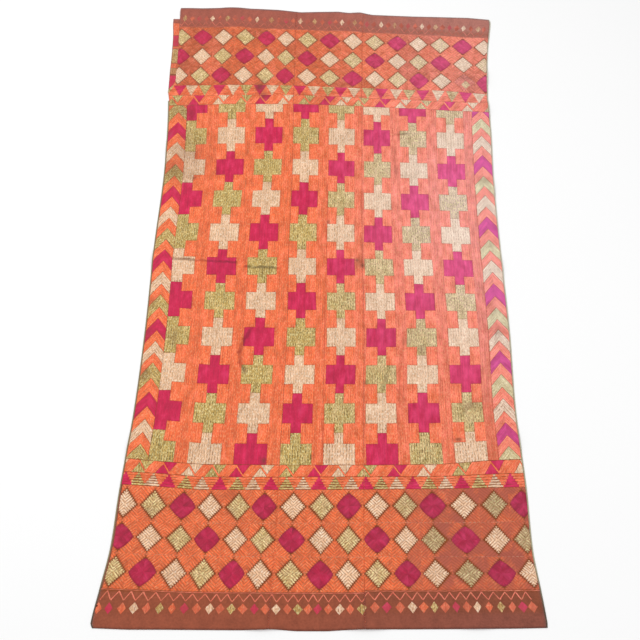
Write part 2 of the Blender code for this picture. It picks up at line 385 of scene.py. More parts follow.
class Finish:
    """A named material, built node by node round its Principled shader."""

    def __init__(self, name, **constants):
        self.material = bpy.data.materials.new(name)
        self.material.use_nodes = True
        self.tree = self.material.node_tree
        self.shader = self.tree.nodes["Principled BSDF"]
        for socket, value in constants.items():
            self.shader.inputs[socket.replace("_", " ")].default_value = value

    def node(self, kind, settings, inputs, output=0):
        """Adds a node of this kind, with its settings and then its sockets' values or links."""
        node = self.tree.nodes.new(kind)
        for setting, value in settings.items():
            setattr(node, setting, value)
        for socket, value in inputs.items():
            if isinstance(value, Value):
                self.tree.links.new(value.socket, node.inputs[socket])
            else:
                node.inputs[socket].default_value = value
        return Value(self, node.outputs[output])

    def math(self, operation, *values):
        return self.node("ShaderNodeMath", {"operation": operation}, dict(enumerate(values)))

    def drive(self, socket, value):
        self.tree.links.new(value.socket, self.shader.inputs[socket])

    def attribute(self, name):
        return self.node("ShaderNodeAttribute", {"attribute_name": name}, {}, "Fac")

    def x_and_y(self, place):
        """The first two coordinates of a place, each as a value."""
        x = self.node("ShaderNodeSeparateXYZ", {}, {0: place})
        return x, Value(self, x.socket.node.outputs["Y"])

    def uv(self, name):
        return self.x_and_y(self.node("ShaderNodeUVMap", {"uv_map": name}, {}))

    def noise(self, x, y, detail=2.0):
        """Soft noise round 0.5 with features about one unit of x and of y across."""
        where = self.node("ShaderNodeCombineXYZ", {}, {0: x, 1: y})
        inputs = {"Vector": where, "Scale": 1.0, "Detail": detail, "Roughness": 0.5}
        return self.node("ShaderNodeTexNoise", {"noise_dimensions": "2D"}, inputs, "Fac")

    def mix(self, amount, under, over):
        """The colour under, with this share of the colour over on it."""
        settings = {"data_type": "RGBA", "clamp_result": True}
        inputs = {"Factor": amount, 6: under, 7: over}
        return self.node("ShaderNodeMix", settings, inputs, 2)

    def shade(self, colour, brightness):
        """The colour with its brightness multiplied by a value."""
        inputs = {0: colour, "Scale": brightness}
        return self.node("ShaderNodeVectorMath", {"operation": "SCALE"}, inputs)

    def bump(self, height, strength):
        inputs = {"Height": height, "Distance": RELIEF, "Strength": strength}
        return self.node("ShaderNodeBump", {}, inputs)


def colour_of(red, green, blue):
    """A colour given in everyday 0 to 255 steps, as the linear one that shaders use."""

    def linear(step):
        step /= 255
        return step / 12.92 if step <= 0.04045 else ((step + 0.055) / 1.055) ** 2.4

    return (linear(red), linear(green), linear(blue), 1.0)


# A piece is worked flat, its x metres across and its y metres along, its z a height in
# thicknesses of its own. It is then laid on the cloth with its maps: "stitch" follows the
# threads in centimetres, and "OFBake" spreads the whole piece flat.
BAKE_MARGIN = 0.004


def mesh_of(bm, name):
    """A bmesh's work as a mesh, which ends the bmesh."""
    mesh = bpy.data.meshes.new(name)
    bm.to_mesh(mesh)
    bm.free()
    return mesh


def grid_mesh(name, columns, rows, size=0.5, middle=(0.5, 0.5, 0)):
    """A flat grid: a unit square, unless it is given another half size and middle."""
    bm = bmesh.new()
    bmesh.ops.create_grid(bm, x_segments=columns, y_segments=rows, size=size)
    bmesh.ops.translate(bm, verts=bm.verts, vec=middle)
    return mesh_of(bm, name)


def set_map(mesh, name, points):
    layer = mesh.uv_layers.new(name=name)
    layer.data.foreach_set("uv", points.astype(np.float32).ravel())


def flat_points(mesh):
    points = np.empty(len(mesh.vertices) * 3, np.float32)
    mesh.vertices.foreach_get("co", points)
    return points.reshape(-1, 3).astype(np.float64)


def corner_points(mesh, points):
    """Each face corner's point."""
    corners = np.empty(len(mesh.loops), np.int32)
    mesh.loops.foreach_get("vertex_index", corners)
    return points[corners]


def corner_angles(mesh):
    """Each face corner's thread angle, clockwise from straight up the cloth, in radians."""
    angles = np.zeros(len(mesh.polygons), np.float32)
    if "angle" in mesh.attributes:
        mesh.attributes["angle"].data.foreach_get("value", angles)
    sizes = np.empty(len(mesh.polygons), np.int32)
    mesh.polygons.foreach_get("loop_total", sizes)
    return np.repeat(angles, sizes)


def set_points(mesh, points):
    mesh.vertices.foreach_set("co", points.astype(np.float32).ravel())


def set_value(mesh, name, values):
    mesh.attributes.new(name, "FLOAT", "POINT").data.foreach_set("value", values.astype(np.float32))


def in_scene(name, data):
    added = bpy.data.objects.new(name, data)
    bpy.context.scene.collection.objects.link(added)
    return added


def make_piece(name, flat_mesh, placed, finish):
    """A piece from its flat mesh and where each of its points goes on the cloth."""
    points = flat_points(flat_mesh)
    corners = corner_points(flat_mesh, points)
    turn = corner_angles(flat_mesh)
    across_threads = corners[:, 0] * np.cos(turn) - corners[:, 1] * np.sin(turn)
    along_threads = corners[:, 0] * np.sin(turn) + corners[:, 1] * np.cos(turn)
    set_map(flat_mesh, "stitch", np.stack([across_threads, along_threads], 1) * 100)
    low, high = corners[:, :2].min(0), corners[:, :2].max(0)
    room = 1 - 2 * BAKE_MARGIN
    set_map(flat_mesh, "OFBake", BAKE_MARGIN + room * (corners[:, :2] - low) / (high - low))
    x, along = placed[:, 0], points[:, 1]
    set_value(flat_mesh, "stain_and_shade", stain_and_shade_at(x, along))
    set_value(flat_mesh, "fade", fade_at(x, along))
    set_points(flat_mesh, placed)
    flat_mesh.update()
    flat_mesh.shade_smooth()
    flat_mesh.materials.append(finish.material)
    piece = in_scene(name, flat_mesh)
    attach(piece, "root")
    return piece


# The cotton is a plain weave of threads about 1.1 mm apart with slubs, greyer towards the far end.
# It is painted darker between the dense stitches, as shade among the raised floss, and is darker
# and redder by the zigzags as a tone of its own.
WEAVE_PITCH = 0.11  # centimetres between threads
KHADDAR_NEAR = colour_of(157, 82, 58)
KHADDAR_RIGHT = colour_of(141, 79, 64)  # of the near end
KHADDAR_FAR = colour_of(166, 86, 68)
KHADDAR_FADED = colour_of(188, 128, 116)
# Painted shade on the cloth between raised stitches; by the zigzags, the cloth's own darker tone.
KHADDAR_DARKER_AND_SHADED = colour_of(138, 70, 32)
KHADDAR_DARKER_AND_SHADED_FAR = colour_of(150, 82, 54)


def khaddar():
    cloth = Finish("khaddar", Roughness=0.92, Sheen_Weight=0.25, Specular_IOR_Level=0.2)
    across, along = cloth.uv("stitch")
    warp, weft = across / WEAVE_PITCH, along / WEAVE_PITCH
    over = ((warp.floor() + weft.floor()) / 2).fraction().rise(0.2, 0.3)
    weave = warp.to_whole() * 2 * over + weft.to_whole() * 2 * (1 - over)
    slubs = cloth.noise(across * 5, along * 0.5) * 0.5 + cloth.noise(across * 0.5, along * 5) * 0.5
    mottle = cloth.noise(across * 0.35, along * 0.25, 3.0)
    patches = cloth.noise(across * 1.5, along * 1.5, 2.0)
    darkening_by_stitches = cloth.attribute("darkening_by_stitches")
    far_end, fade = cloth.attribute("far_end"), cloth.attribute("fade")
    near = cloth.mix((fade * 6).at_most(1.0), KHADDAR_NEAR, KHADDAR_RIGHT)
    plain = cloth.mix(far_end, near, KHADDAR_FAR)
    plain = cloth.mix(fade * far_end, plain, KHADDAR_FADED)
    dark = cloth.mix(far_end, KHADDAR_DARKER_AND_SHADED, KHADDAR_DARKER_AND_SHADED_FAR)
    darkened_between_stitches = cloth.mix(darkening_by_stitches, plain, dark)
    light = 0.50 + 0.20 * weave + 0.30 * slubs + 0.45 * (mottle - 0.28) + 0.40 * (patches - 0.25)
    # Darker at the spots, which are stains and painted shade, and near both ends.
    darkened_light = light * (1 - 0.30 * cloth.attribute("stain_and_shade")) * (1 - 0.45 * cloth.attribute("near_an_end"))
    cloth.drive("Base Color", cloth.shade(darkened_between_stitches, darkened_light))
    cloth.drive("Normal", cloth.bump(weave + slubs, 0.6))
    return cloth


KHADDAR = khaddar()
CLOTH_CELL = 0.009
# The cloth is darker within this much of either end.
END_DARK_REACH = 0.007
PLEAT_UNDERLAP = 0.014
FIRST_STITCHES, LAST_STITCHES = 0.112, 2.300  # along, of the dense needlework
BARE_SIDE, BARE_SIDE_END = 0.489, 0.424  # across and along: the near end's sides are barer
NEAR_ZIGZAG, FAR_ZIGZAG, FAR_ZIGZAG_END = 0.040, 2.298, 2.336
STITCHES_START, ZIGZAG_START = 0.004, 0.020  # over which they become dense
BARE_SIDE_SHARE = 0.8
# How dense a zigzag is, and how much more to the right of a little left of the middle.
ZIGZAG_LEFT, ZIGZAG_RIGHT, ZIGZAG_TURN = 0.20, 0.45, 0.1
FAR_FROM, FAR_REACH = 1.0, 1.2  # along, where the cloth turns greyer


def darkening_by_stitches_at(across, along):
    """How much darker the cloth is painted: wholly between the dense stitches, as shade, and less
    by the zigzags, as its own darker tone.
    """

    def past(distance, over=STITCHES_START):
        return smooth_step(distance / over)

    dense = past(along - FIRST_STITCHES) * past(LAST_STITCHES - along)
    at_bare_side = past(np.abs(across) - BARE_SIDE) * past(BARE_SIDE_END - along)
    by_near = past(along - NEAR_ZIGZAG, ZIGZAG_START) * past(FIRST_STITCHES - along)
    by_far = past(along - FAR_ZIGZAG) * past(FAR_ZIGZAG_END - along, ZIGZAG_START)
    by_zigzag = ZIGZAG_LEFT + ZIGZAG_RIGHT * smooth_step(across + ZIGZAG_TURN)
    return np.maximum(dense * (1 - BARE_SIDE_SHARE * at_bare_side), by_zigzag * (by_near + by_far))


def lay_cloth(name, node, columns, left_edge, right_edge, first=0.0, last=LENGTH, on_top=True):
    """A length of khaddar between two edges given as functions of along."""
    mesh = grid_mesh(name, columns, round((last - first) / CLOTH_CELL))
    unit = flat_points(mesh)
    along = first + (last - first) * unit[:, 1]
    left, right = left_edge(along), right_edge(along)
    x = left + (right - left) * unit[:, 0]
    across = across_of(x, along)
    placed = lay_down(x, along, 0.0)
    if not on_top:
        placed[:, 2] = 0.0
    set_points(mesh, np.stack([across * FLAT_WIDTH, along, np.zeros_like(x)], 1))
    piece = make_piece(name, mesh, placed, KHADDAR)
    set_value(mesh, "darkening_by_stitches", darkening_by_stitches_at(across, along))
    set_value(mesh, "far_end", smooth_step((along - FAR_FROM) / FAR_REACH))
    set_value(mesh, "near_an_end", smooth_step(1 - np.minimum(along, LENGTH - along) / END_DARK_REACH))
    wall = piece.modifiers.new("wall", "SOLIDIFY")
    wall.thickness = KHADDAR_WALL
    wall.offset = 1.0
    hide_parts(node)
    return piece


def left_cloth_edge(along):
    beside_edging = np.clip((PLEAT_START - along) / PLEAT_RISE, 0.0, 1.0)
    return outline(-1, along) + INSIDE_EDGING * beside_edging


def right_cloth_edge(along):
    return outline(1, along) - INSIDE_EDGING


def seam_edge(seam, side):
    return lambda along: x_of(seam, along) + side * SEAM_GAP / 2


def pleat_left_edge(along):
    return plan("left", along)


def pleat_right_edge(along):
    return outline(-1, along) + PLEAT_UNDERLAP


cloth_left = lay_cloth(
    "cloth_left", "left_panel", 54, left_cloth_edge, seam_edge(LEFT_SEAM, -1)
)
cloth_centre = lay_cloth(
    "cloth_centre", "centre_panel", 30, seam_edge(LEFT_SEAM, 1), seam_edge(RIGHT_SEAM, -1)
)
cloth_right = lay_cloth(
    "cloth_right", "right_panel", 55, seam_edge(RIGHT_SEAM, 1), right_cloth_edge
)
cloth_pleat = lay_cloth(
    "cloth_pleat", "left_pleat", 4, pleat_left_edge, pleat_right_edge, PLEAT_START, PLEAT_END, False
)

# ---------------------------------------------------------------- silk floss
# Untwisted silk floss darned from the back, so each stitch lies straight and flat beside the
# next. Its sheen, the shadow lines between rows of stitches and the specks of cloth that
# show through give each colour its own look: magenta is the closest worked.


# A dye's four colours, of which deep is the one its painted shadows take and pale the one its
# painted glints take, how strongly each kind of mark shows in it, how many centimetres apart its
# rows are, and how many breaks their shadows have to a centimetre.
Dye = namedtuple("Dye", "colour faded deep pale streaks dashes specks glints threads pitch dash")
DYES = {
    "orange": Dye((248, 114, 60), (252, 154, 146), (204, 66, 34), (255, 184, 136),
                  0.42, 0.56, 0.52, 0.36, 0.12, 0.78, 0.26),
    "magenta": Dye((206, 15, 72), (230, 92, 146), (140, 14, 44), (236, 70, 120),
                   0.38, 0.16, 0.16, 0.14, 0.10, 0.90, 0.40),
    "mauve": Dye((192, 30, 88), (215, 88, 154), (146, 20, 70), (232, 90, 156),
                 0.38, 0.16, 0.16, 0.14, 0.10, 0.90, 0.40),
    "cream": Dye((240, 194, 152), (244, 220, 202), (140, 84, 48), (255, 240, 218),
                 0.26, 0.70, 0.48, 0.56, 0.12, 0.92, 0.60),
    "green": Dye((206, 170, 92), (231, 202, 183), (96, 76, 24), (250, 240, 176),
                 0.32, 0.80, 0.74, 0.58, 0.14, 0.84, 0.50),
    "mint": Dye((208, 178, 110), (226, 214, 178), (124, 102, 52), (248, 240, 206),
                0.32, 0.50, 0.40, 0.40, 0.14, 0.84, 0.50),
}
OLD_CLOTH = colour_of(172, 84, 66)
# The colour of the dark spots: old stains and painted shade.
STAIN_AND_SHADE_COLOUR = colour_of(98, 54, 36)
THREAD_PITCH = 0.09  # centimetres
STITCH_LENGTH = 0.85

# Painted shade of creases in the floss: a thin dark line between two places on the cloth.
CreaseShade = namedtuple("CreaseShade", "across_a along_a across_b along_b width strength")
CREASE_SHADES = (
    CreaseShade(-0.438, 1.237, -0.350, 1.231, 0.0085, 0.80),
    CreaseShade(-0.350, 1.231, -0.258, 1.225, 0.0075, 0.70),
    CreaseShade(-0.232, 1.209, -0.141, 1.205, 0.0085, 0.75),
    CreaseShade(-0.196, 1.000, -0.212, 0.965, 0.0060, 0.40),
    CreaseShade(-0.212, 0.965, -0.227, 0.925, 0.0110, 0.66),
    CreaseShade(-0.227, 0.925, -0.235, 0.885, 0.0125, 0.80),
    CreaseShade(-0.235, 0.885, -0.231, 0.850, 0.0115, 0.66),
    CreaseShade(-0.231, 0.850, -0.216, 0.815, 0.0090, 0.50),
    CreaseShade(-0.003, 0.505, -0.002, 1.560, 0.0038, 0.45),
    CreaseShade(0.175, 0.845, 0.150, 0.755, 0.0110, 0.36),
    CreaseShade(0.187, 0.762, 0.214, 0.715, 0.0050, 0.40),
    CreaseShade(0.190, 0.620, 0.207, 0.990, 0.0050, 0.22),
    CreaseShade(-0.180, 0.780, -0.225, 0.660, 0.0060, 0.32),
    CreaseShade(0.195, 1.790, 0.245, 1.800, 0.0060, 0.32),
    CreaseShade(-0.301, 1.850, -0.300, 1.890, 0.0044, 0.45),
    CreaseShade(0.395, 0.720, 0.352, 0.665, 0.0120, 0.26),
)


def painted_crease_shade(finish):
    """1 in the middle of a painted crease shadow, 0 away from them all."""
    x, y = finish.x_and_y(finish.node("ShaderNodeTexCoord", {}, {}, "Object"))
    uneven = finish.noise(x * 45, y * 45, 2.0) - 0.5
    x, y = x + uneven * 0.010, y - uneven * 0.012
    dark = None
    for crease_line in CREASE_SHADES:
        across = np.array([crease_line.across_a, crease_line.across_b])
        along = np.array([crease_line.along_a, crease_line.along_b])
        (ax, ay, _), (bx, by, _) = lay_down(x_of(across, along), along, 0.0).tolist()
        run_x, run_y = bx - ax, by - ay
        share = ((x - ax) * run_x + (y - ay) * run_y) / (run_x**2 + run_y**2)
        share = share.at_most(1.0).at_least(0.0)
        off_x, off_y = x - ax - share * run_x, y - ay - share * run_y
        away = (off_x * off_x + off_y * off_y) ** 0.5
        line = away.rise(crease_line.width, crease_line.width * 0.2) * (crease_line.strength * (1 + 2.2 * uneven))
        dark = line if dark is None else dark.at_least(line)
    return dark


def floss(name):
    """One colour of floss, which reads how each patch was darned, how worn and stained it is there,
    and where shade is painted on it.
    """
    dye = DYES[name]
    silk = Finish("silk_" + name, Roughness=0.5, Sheen_Weight=0.06, Specular_IOR_Level=0.30)
    across, along = silk.uv("stitch")
    tone, age, rows = (silk.attribute(a) for a in ("tone", "age", "rows"))
    stain_and_shade, fade = silk.attribute("stain_and_shade"), silk.attribute("fade")

    # Rows of stitches with broken shadows between them.
    wobble = silk.noise(across * 0.3, along * 0.3) - 0.5
    row = across / dye.pitch + wobble * 0.5
    in_shadow = (row.to_whole() * 2).rise(0.50, 0.05)
    dashes = silk.noise(row.floor() * 5.3, along * dye.dash, 1.0).rise(0.40, 0.54)
    dashes = dashes * in_shadow * rows

    # Lighter and darker ribbons of silk, broad patches that are partly its uneven colour and partly
    # painted shade of soft wrinkles, cloth that shows as specks, and painted glints.
    streak = silk.noise(across * 2.8, along * 0.40, 2.0)
    ribbon = silk.noise(across * 1.3, along * 0.12, 2.0)
    broad = silk.noise(across * 0.45, along * 0.24, 2.0)
    specks = silk.noise(across * 2.8 + 40.0, along * 1.4, 1.0).rise(0.50, 0.66)
    glints = silk.noise(across * 2.9, along * 1.2 + 70.0, 1.0).rise(0.52, 0.68)

    # Single threads, each painted darker at its edges as shade between threads and lighter along
    # its painted sheen, and the ends of stitches, which a few threads share and which are painted
    # darker.
    thread = across / THREAD_PITCH
    sheen = silk.noise(thread.floor() * 3.1, along * 0.5, 0.0)
    profile = thread.to_whole() * 2
    bundle = (thread / 4).floor()
    stitch = along / STITCH_LENGTH + silk.noise(bundle * 3.7, 0.0) * 3
    stitch_end = stitch.to_whole().rise(0.06, 0.0)

    # The dye: washed out unevenly, deeper in every shadow and pale where it glints.
    uneven = fade + silk.attribute("wash") + (broad - 0.5) * 0.5
    washed = silk.mix(uneven, colour_of(*dye.colour), colour_of(*dye.faded))
    shadow = dye.dashes * dashes + dye.specks * (streak.rise(0.47, 0.32) * 0.5 + specks * 0.6)
    shadow = shadow * (1 - 0.35 * fade)
    deep = silk.mix((shadow + 0.10 * stitch_end).at_most(1.0), washed, colour_of(*dye.deep))
    glinting = silk.mix(dye.glints * glints, deep, colour_of(*dye.pale))
    light = 1 + dye.streaks * (1.3 * ribbon + 1.5 * broad - 1.40) + 0.24 * (tone - 0.5)
    light = light * (1 - dye.threads * (1.5 - profile - sheen))
    patch = silk.noise(across * 0.25 + 11.0, along * 0.25, 2.0).rise(0.30, 0.62)
    aged = silk.mix(age * (0.55 + 0.6 * patch), silk.shade(glinting, light), OLD_CLOTH)

    # Grooves between ribs, widest at a side, where they part its small teeth: painted as cloth in
    # shade.
    at_side = silk.attribute("from_side").rise(0.0056, 0.0008)
    groove = (silk.attribute("rib").to_whole() * 2 - at_side * 0.40).rise(0.60, 0.0)
    groove = groove * silk.attribute("ribbed") * (0.65 + 0.35 * at_side)
    ribbed = silk.mix(groove, aged, KHADDAR_DARKER_AND_SHADED)

    # Painted shade along the creases, in the dye's deep colour.
    crease_line = painted_crease_shade(silk)
    crease_shaded = silk.shade(silk.mix(crease_line * 0.6, ribbed, colour_of(*dye.deep)), 1 - 0.30 * crease_line)
    silk.drive("Base Color", silk.mix(stain_and_shade, crease_shaded, STAIN_AND_SHADE_COLOUR))
    silk.drive("Normal", silk.bump(profile * 0.5 - stitch_end - dashes * 0.6 - groove, 0.7))
    return silk


FLOSS = {name: floss(name) for name in DYES}
COLOURS = ("orange", "magenta", "cream", "green")
SLOTS = {"mauve": "silk_magenta", "mint": "silk_green"}  # another dyeing of the same colour

# It is worked flat in the pattern's own coordinates: x is a share of the width times FLAT_WIDTH,
# y is metres along. Hand work wanders a little from row to row, and the right loom width was
# joined some millimetres further up than the others at the near end.
chance = random.Random(11)
LEFT_SEAM_X, RIGHT_SEAM_X = LEFT_SEAM * FLAT_WIDTH, RIGHT_SEAM * FLAT_WIDTH
SEAM_CLEAR = 0.0003
EDGE_CLEAR = 0.0006
FLOSS_HEIGHT = 0.0005
FLOSS_SUNK = 0.0001
HAND_SHAKE = 0.0005  # how far hand work strays from a straight line
SHAKE_X, SHAKE_Y = (520, 260), (540, 250)  # how often it does so, in radians to a metre
TOUCHING = 0.00002  # points this near are one
OUTLINE_ROOM = 0.4  # of its shortest edge, which a point of an outline may move
SHARPEST = 0.35  # limits how far a sharp corner is drawn in
EDGE_SLOPE = 0.0007
MIDDLE_TONE = 0.5

# How far the work strays up the cloth, from its left edge to its right one, at shares of the
# width that are the same for every row.
Wander = namedtuple("Wander", "along edge_l out_l in_l mid_l mid_r join_r in_r out_r edge_r")
WANDER_AT = (-0.49, -0.42, -0.30, -0.10, 0.1005, 0.1015, 0.30, 0.42, 0.49)
WANDERS = (
    Wander(0.000, 0.000, 0.000, 0.000, 0.000, 0.000, 0.000, 0.000, 0.000, 0.000),
    Wander(0.066, -0.003, -0.002, -0.001, -0.003, -0.003, 0.002, 0.003, 0.002, 0.001),
    Wander(0.1155, 0.004, 0.001, -0.005, -0.007, -0.007, -0.001, -0.001, -0.001, -0.001),
    Wander(0.166, 0.003, 0.001, -0.001, -0.003, -0.003, 0.000, 0.000, 0.000, 0.000),
    Wander(0.267, 0.006, 0.003, -0.001, -0.002, -0.001, 0.001, -0.001, -0.001, 0.000),
    Wander(0.3695, 0.008, 0.004, -0.003, -0.002, 0.001, 0.001, 0.000, 0.002, 0.005),
    Wander(0.4215, 0.018, 0.013, 0.001, 0.000, 0.000, 0.000, 0.000, 0.002, 0.003),
    Wander(0.463, 0.019, 0.014, 0.001, 0.000, 0.000, -0.001, -0.001, 0.005, 0.007),
    Wander(0.502, 0.022, 0.014, 0.003, 0.000, -0.001, -0.002, 0.000, 0.011, 0.013),
    Wander(0.606, 0.015, 0.013, 0.001, 0.001, 0.001, -0.001, 0.001, 0.003, 0.004),
    Wander(0.744, 0.010, 0.010, 0.000, -0.001, 0.000, 0.000, 0.000, 0.002, 0.002),
    Wander(1.0155, 0.004, 0.004, -0.001, 0.000, 0.000, -0.001, 0.001, 0.001, 0.001),
    Wander(1.2855, -0.005, -0.005, -0.006, -0.001, 0.000, 0.000, 0.000, -0.001, -0.001),
    Wander(1.428, -0.008, -0.008, -0.005, 0.001, 0.000, -0.005, -0.003, -0.003, -0.003),
    Wander(1.705, -0.014, -0.014, -0.006, 0.002, -0.002, 0.000, -0.003, -0.004, -0.004),
    Wander(1.855, -0.020, -0.020, -0.006, 0.002, 0.000, -0.003, -0.004, -0.008, -0.008),
    Wander(1.925, -0.020, -0.016, -0.006, 0.001, 0.000, -0.003, -0.005, -0.012, -0.013),
    Wander(1.965, -0.014, -0.010, -0.004, 0.004, 0.000, -0.002, -0.004, -0.006, -0.006),
    Wander(2.012, -0.013, -0.009, -0.001, 0.003, -0.001, 0.001, -0.002, -0.004, -0.008),
    Wander(2.152, -0.010, -0.005, 0.005, 0.000, -0.003, -0.001, 0.001, -0.004, -0.004),
    Wander(2.247, -0.006, -0.002, 0.004, 0.002, 0.000, 0.000, -0.001, -0.004, -0.004),
    Wander(2.345, -0.004, -0.003, 0.003, -0.001, -0.001, -0.004, -0.004, -0.003, -0.004),
    Wander(2.398, 0.000, 0.000, 0.000, 0.000, 0.000, 0.000, 0.000, 0.000, 0.000),
)


def wander_at(across, along):
    rows = np.array([wander[1:] for wander in WANDERS])
    places = [wander.along for wander in WANDERS]
    by_row = np.stack([np.interp(along, places, column) for column in rows.T], 1)
    cell = np.clip(np.searchsorted(WANDER_AT, across) - 1, 0, len(WANDER_AT) - 2)
    ends = np.array(WANDER_AT)
    share = np.clip((across - ends[cell]) / (ends[cell + 1] - ends[cell]), 0, 1)
    picked = np.arange(len(across))
    return by_row[picked, cell] * (1 - share) + by_row[picked, cell + 1] * share


# How a patch is darned: which way its thread runs, how light it is, how old and how washed it
# looks, and how deep the painted shadows between its rows of stitches and in the grooves between
# its ribs are.
Darning = namedtuple(
    "Darning",
    "angle tone age rows wash ribbed",
    defaults=(0.0, MIDDLE_TONE, 0.0, 0.6, 0.0, 0.0),
)


def cells(length, cell):
    """How many cells of about this size fit a length."""
    return max(round(length / cell), 1)


def cut(bm, point, normal, clear_outer=False):
    """Cuts a bmesh along a plane, and may clear off what lies past it."""
    everything = bm.verts[:] + bm.edges[:] + bm.faces[:]
    bmesh.ops.bisect_plane(
        bm, geom=everything, plane_co=point, plane_no=normal, clear_outer=clear_outer
    )


class Work:
    """Flat needlework in one colour of floss, before it is laid on the cloth."""

    def __init__(self, name, colour):
        self.name, self.colour = name, colour
        self.bm = bmesh.new()
        self.layers = {name: self.bm.faces.layers.float.new(name) for name in Darning._fields}
        self.rib = self.bm.verts.layers.float.new("rib")
        self.from_side = self.bm.verts.layers.float.new("from_side")

    def mark(self, faces, darning):
        for face in faces:
            for layer, value in zip(self.layers.values(), darning):
                face[layer] = value

    def four_sided(self, corners, columns, rows, darning, ribs=0):
        """A patch between four corners, given anticlockwise from its near left one."""
        near_left, near_right, far_right, far_left = (Vector((*corner, 0)) for corner in corners)
        made = bmesh.ops.create_grid(self.bm, x_segments=columns, y_segments=rows, size=0.5)
        for vertex in made["verts"]:
            s, t = vertex.co.x + 0.5, vertex.co.y + 0.5
            near, far = near_left.lerp(near_right, s), far_left.lerp(far_right, s)
            vertex.co = near.lerp(far, t)
            vertex[self.rib], vertex[self.from_side] = t * ribs, 1.0
        self.mark({face for vertex in made["verts"] for face in vertex.link_faces}, darning)

    def rectangle(self, left, right, near, far, columns, rows, darning):
        corners = [(left, near), (right, near), (right, far), (left, far)]
        self.four_sided(corners, columns, rows, darning)

    def polygon(self, corners, cell, darning):
        """A convex patch, cut into cells."""
        part = bmesh.new()
        part.faces.new([part.verts.new((*corner, 0)) for corner in corners])
        for axis in (0, 1):
            low = min(corner[axis] for corner in corners)
            high = max(corner[axis] for corner in corners)
            for number in range(1, math.ceil((high - low) / cell)):
                normal, point = [0, 0, 0], [0, 0, 0]
                normal[axis], point[axis] = 1, low + number * cell
                cut(part, point, normal)
        self.take(part, darning)

    def take(self, part, darning=None):
        """Moves another bmesh's faces into this work, and marks them if they aren't yet."""
        mesh = mesh_of(part, "part")
        before = len(self.bm.faces)
        self.bm.from_mesh(mesh)
        bpy.data.meshes.remove(mesh)
        self.bm.faces.ensure_lookup_table()
        if darning:
            self.mark(self.bm.faces[before:], darning)

    def stamp(self, template, place, width, tone, age=0.0, wash=0.0, tall=1.0):
        """A copy of a worked template, scaled and moved to its place, with its dye noted."""
        before_verts, before_faces = len(self.bm.verts), len(self.bm.faces)
        self.bm.from_mesh(template)
        self.bm.verts.ensure_lookup_table()
        self.bm.faces.ensure_lookup_table()
        for vertex in self.bm.verts[before_verts:]:
            vertex.co.x = vertex.co.x * width + place[0]
            vertex.co.y = vertex.co.y * tall + place[1]
        for face in self.bm.faces[before_faces:]:
            face[self.layers["tone"]] += tone - MIDDLE_TONE
            face[self.layers["age"]], face[self.layers["wash"]] = age, wash

    def keep(self, axis, edge, side):
        """Cuts off everything past a straight edge: side is 1 to keep what lies above it."""
        point, normal = [0, 0, 0], [0, 0, 0]
        point[axis], normal[axis] = edge, -side
        cut(self.bm, point, normal, clear_outer=True)

    def part_at_seams(self):
        """Cuts a narrow way along both seams out of the work."""
        for seam in (LEFT_SEAM_X, RIGHT_SEAM_X):
            for side in (-SEAM_CLEAR, SEAM_CLEAR):
                cut(self.bm, (seam + side, 0, 0), (1, 0, 0))
            middles = [(face, face.calc_center_median().x) for face in self.bm.faces]
            way = [face for face, middle in middles if abs(middle - seam) < SEAM_CLEAR]
            bmesh.ops.delete(self.bm, geom=way, context="FACES")

    def inward(self, amount):
        """How each vertex on the outline of a region moves to draw the outline in."""
        moves = {}
        for vertex in self.bm.verts:
            lengths = (edge.calc_length() for edge in vertex.link_edges)
            room = OUTLINE_ROOM * min(lengths, default=0.0)
            inwards = []
            for edge in vertex.link_edges:
                if edge.is_boundary:
                    loop = edge.link_loops[0]
                    run = loop.link_loop_next.vert.co - loop.vert.co
                    inwards.append(Vector((-run.y, run.x, 0)).normalized())
            if inwards:
                between = sum(inwards, Vector()) / len(inwards)
                move = between * amount / max(between.length_squared, SHARPEST)
                moves[vertex] = move * min(1.0, room / max(move.length, 1e-9))
        return moves

    def shift(self, moves):
        for vertex, move in moves.items():
            vertex.co += move

    def raise_regions(self, gap, slope=EDGE_SLOPE, merged=True):
        """Draws each region in from its neighbours by half the gap and rounds its edge up."""
        if merged:
            bmesh.ops.remove_doubles(self.bm, verts=self.bm.verts, dist=TOUCHING)
        for vertex in self.bm.verts[:]:
            outer = [edge for edge in vertex.link_edges if edge.is_boundary]
            if len(outer) > 2:
                bmesh.utils.vert_separate(vertex, outer)
        self.shift(self.inward(gap / 2))
        slopes = self.inward(slope)
        inner = self.bm.verts[:]
        outer = [edge for edge in self.bm.edges if edge.is_boundary]
        bmesh.ops.extrude_edge_only(self.bm, edges=outer)
        self.shift(slopes)
        for vertex in inner:
            vertex.co.z = 1.0

    def thicken(self, times):
        bmesh.ops.scale(self.bm, verts=self.bm.verts, vec=(1, 1, times))

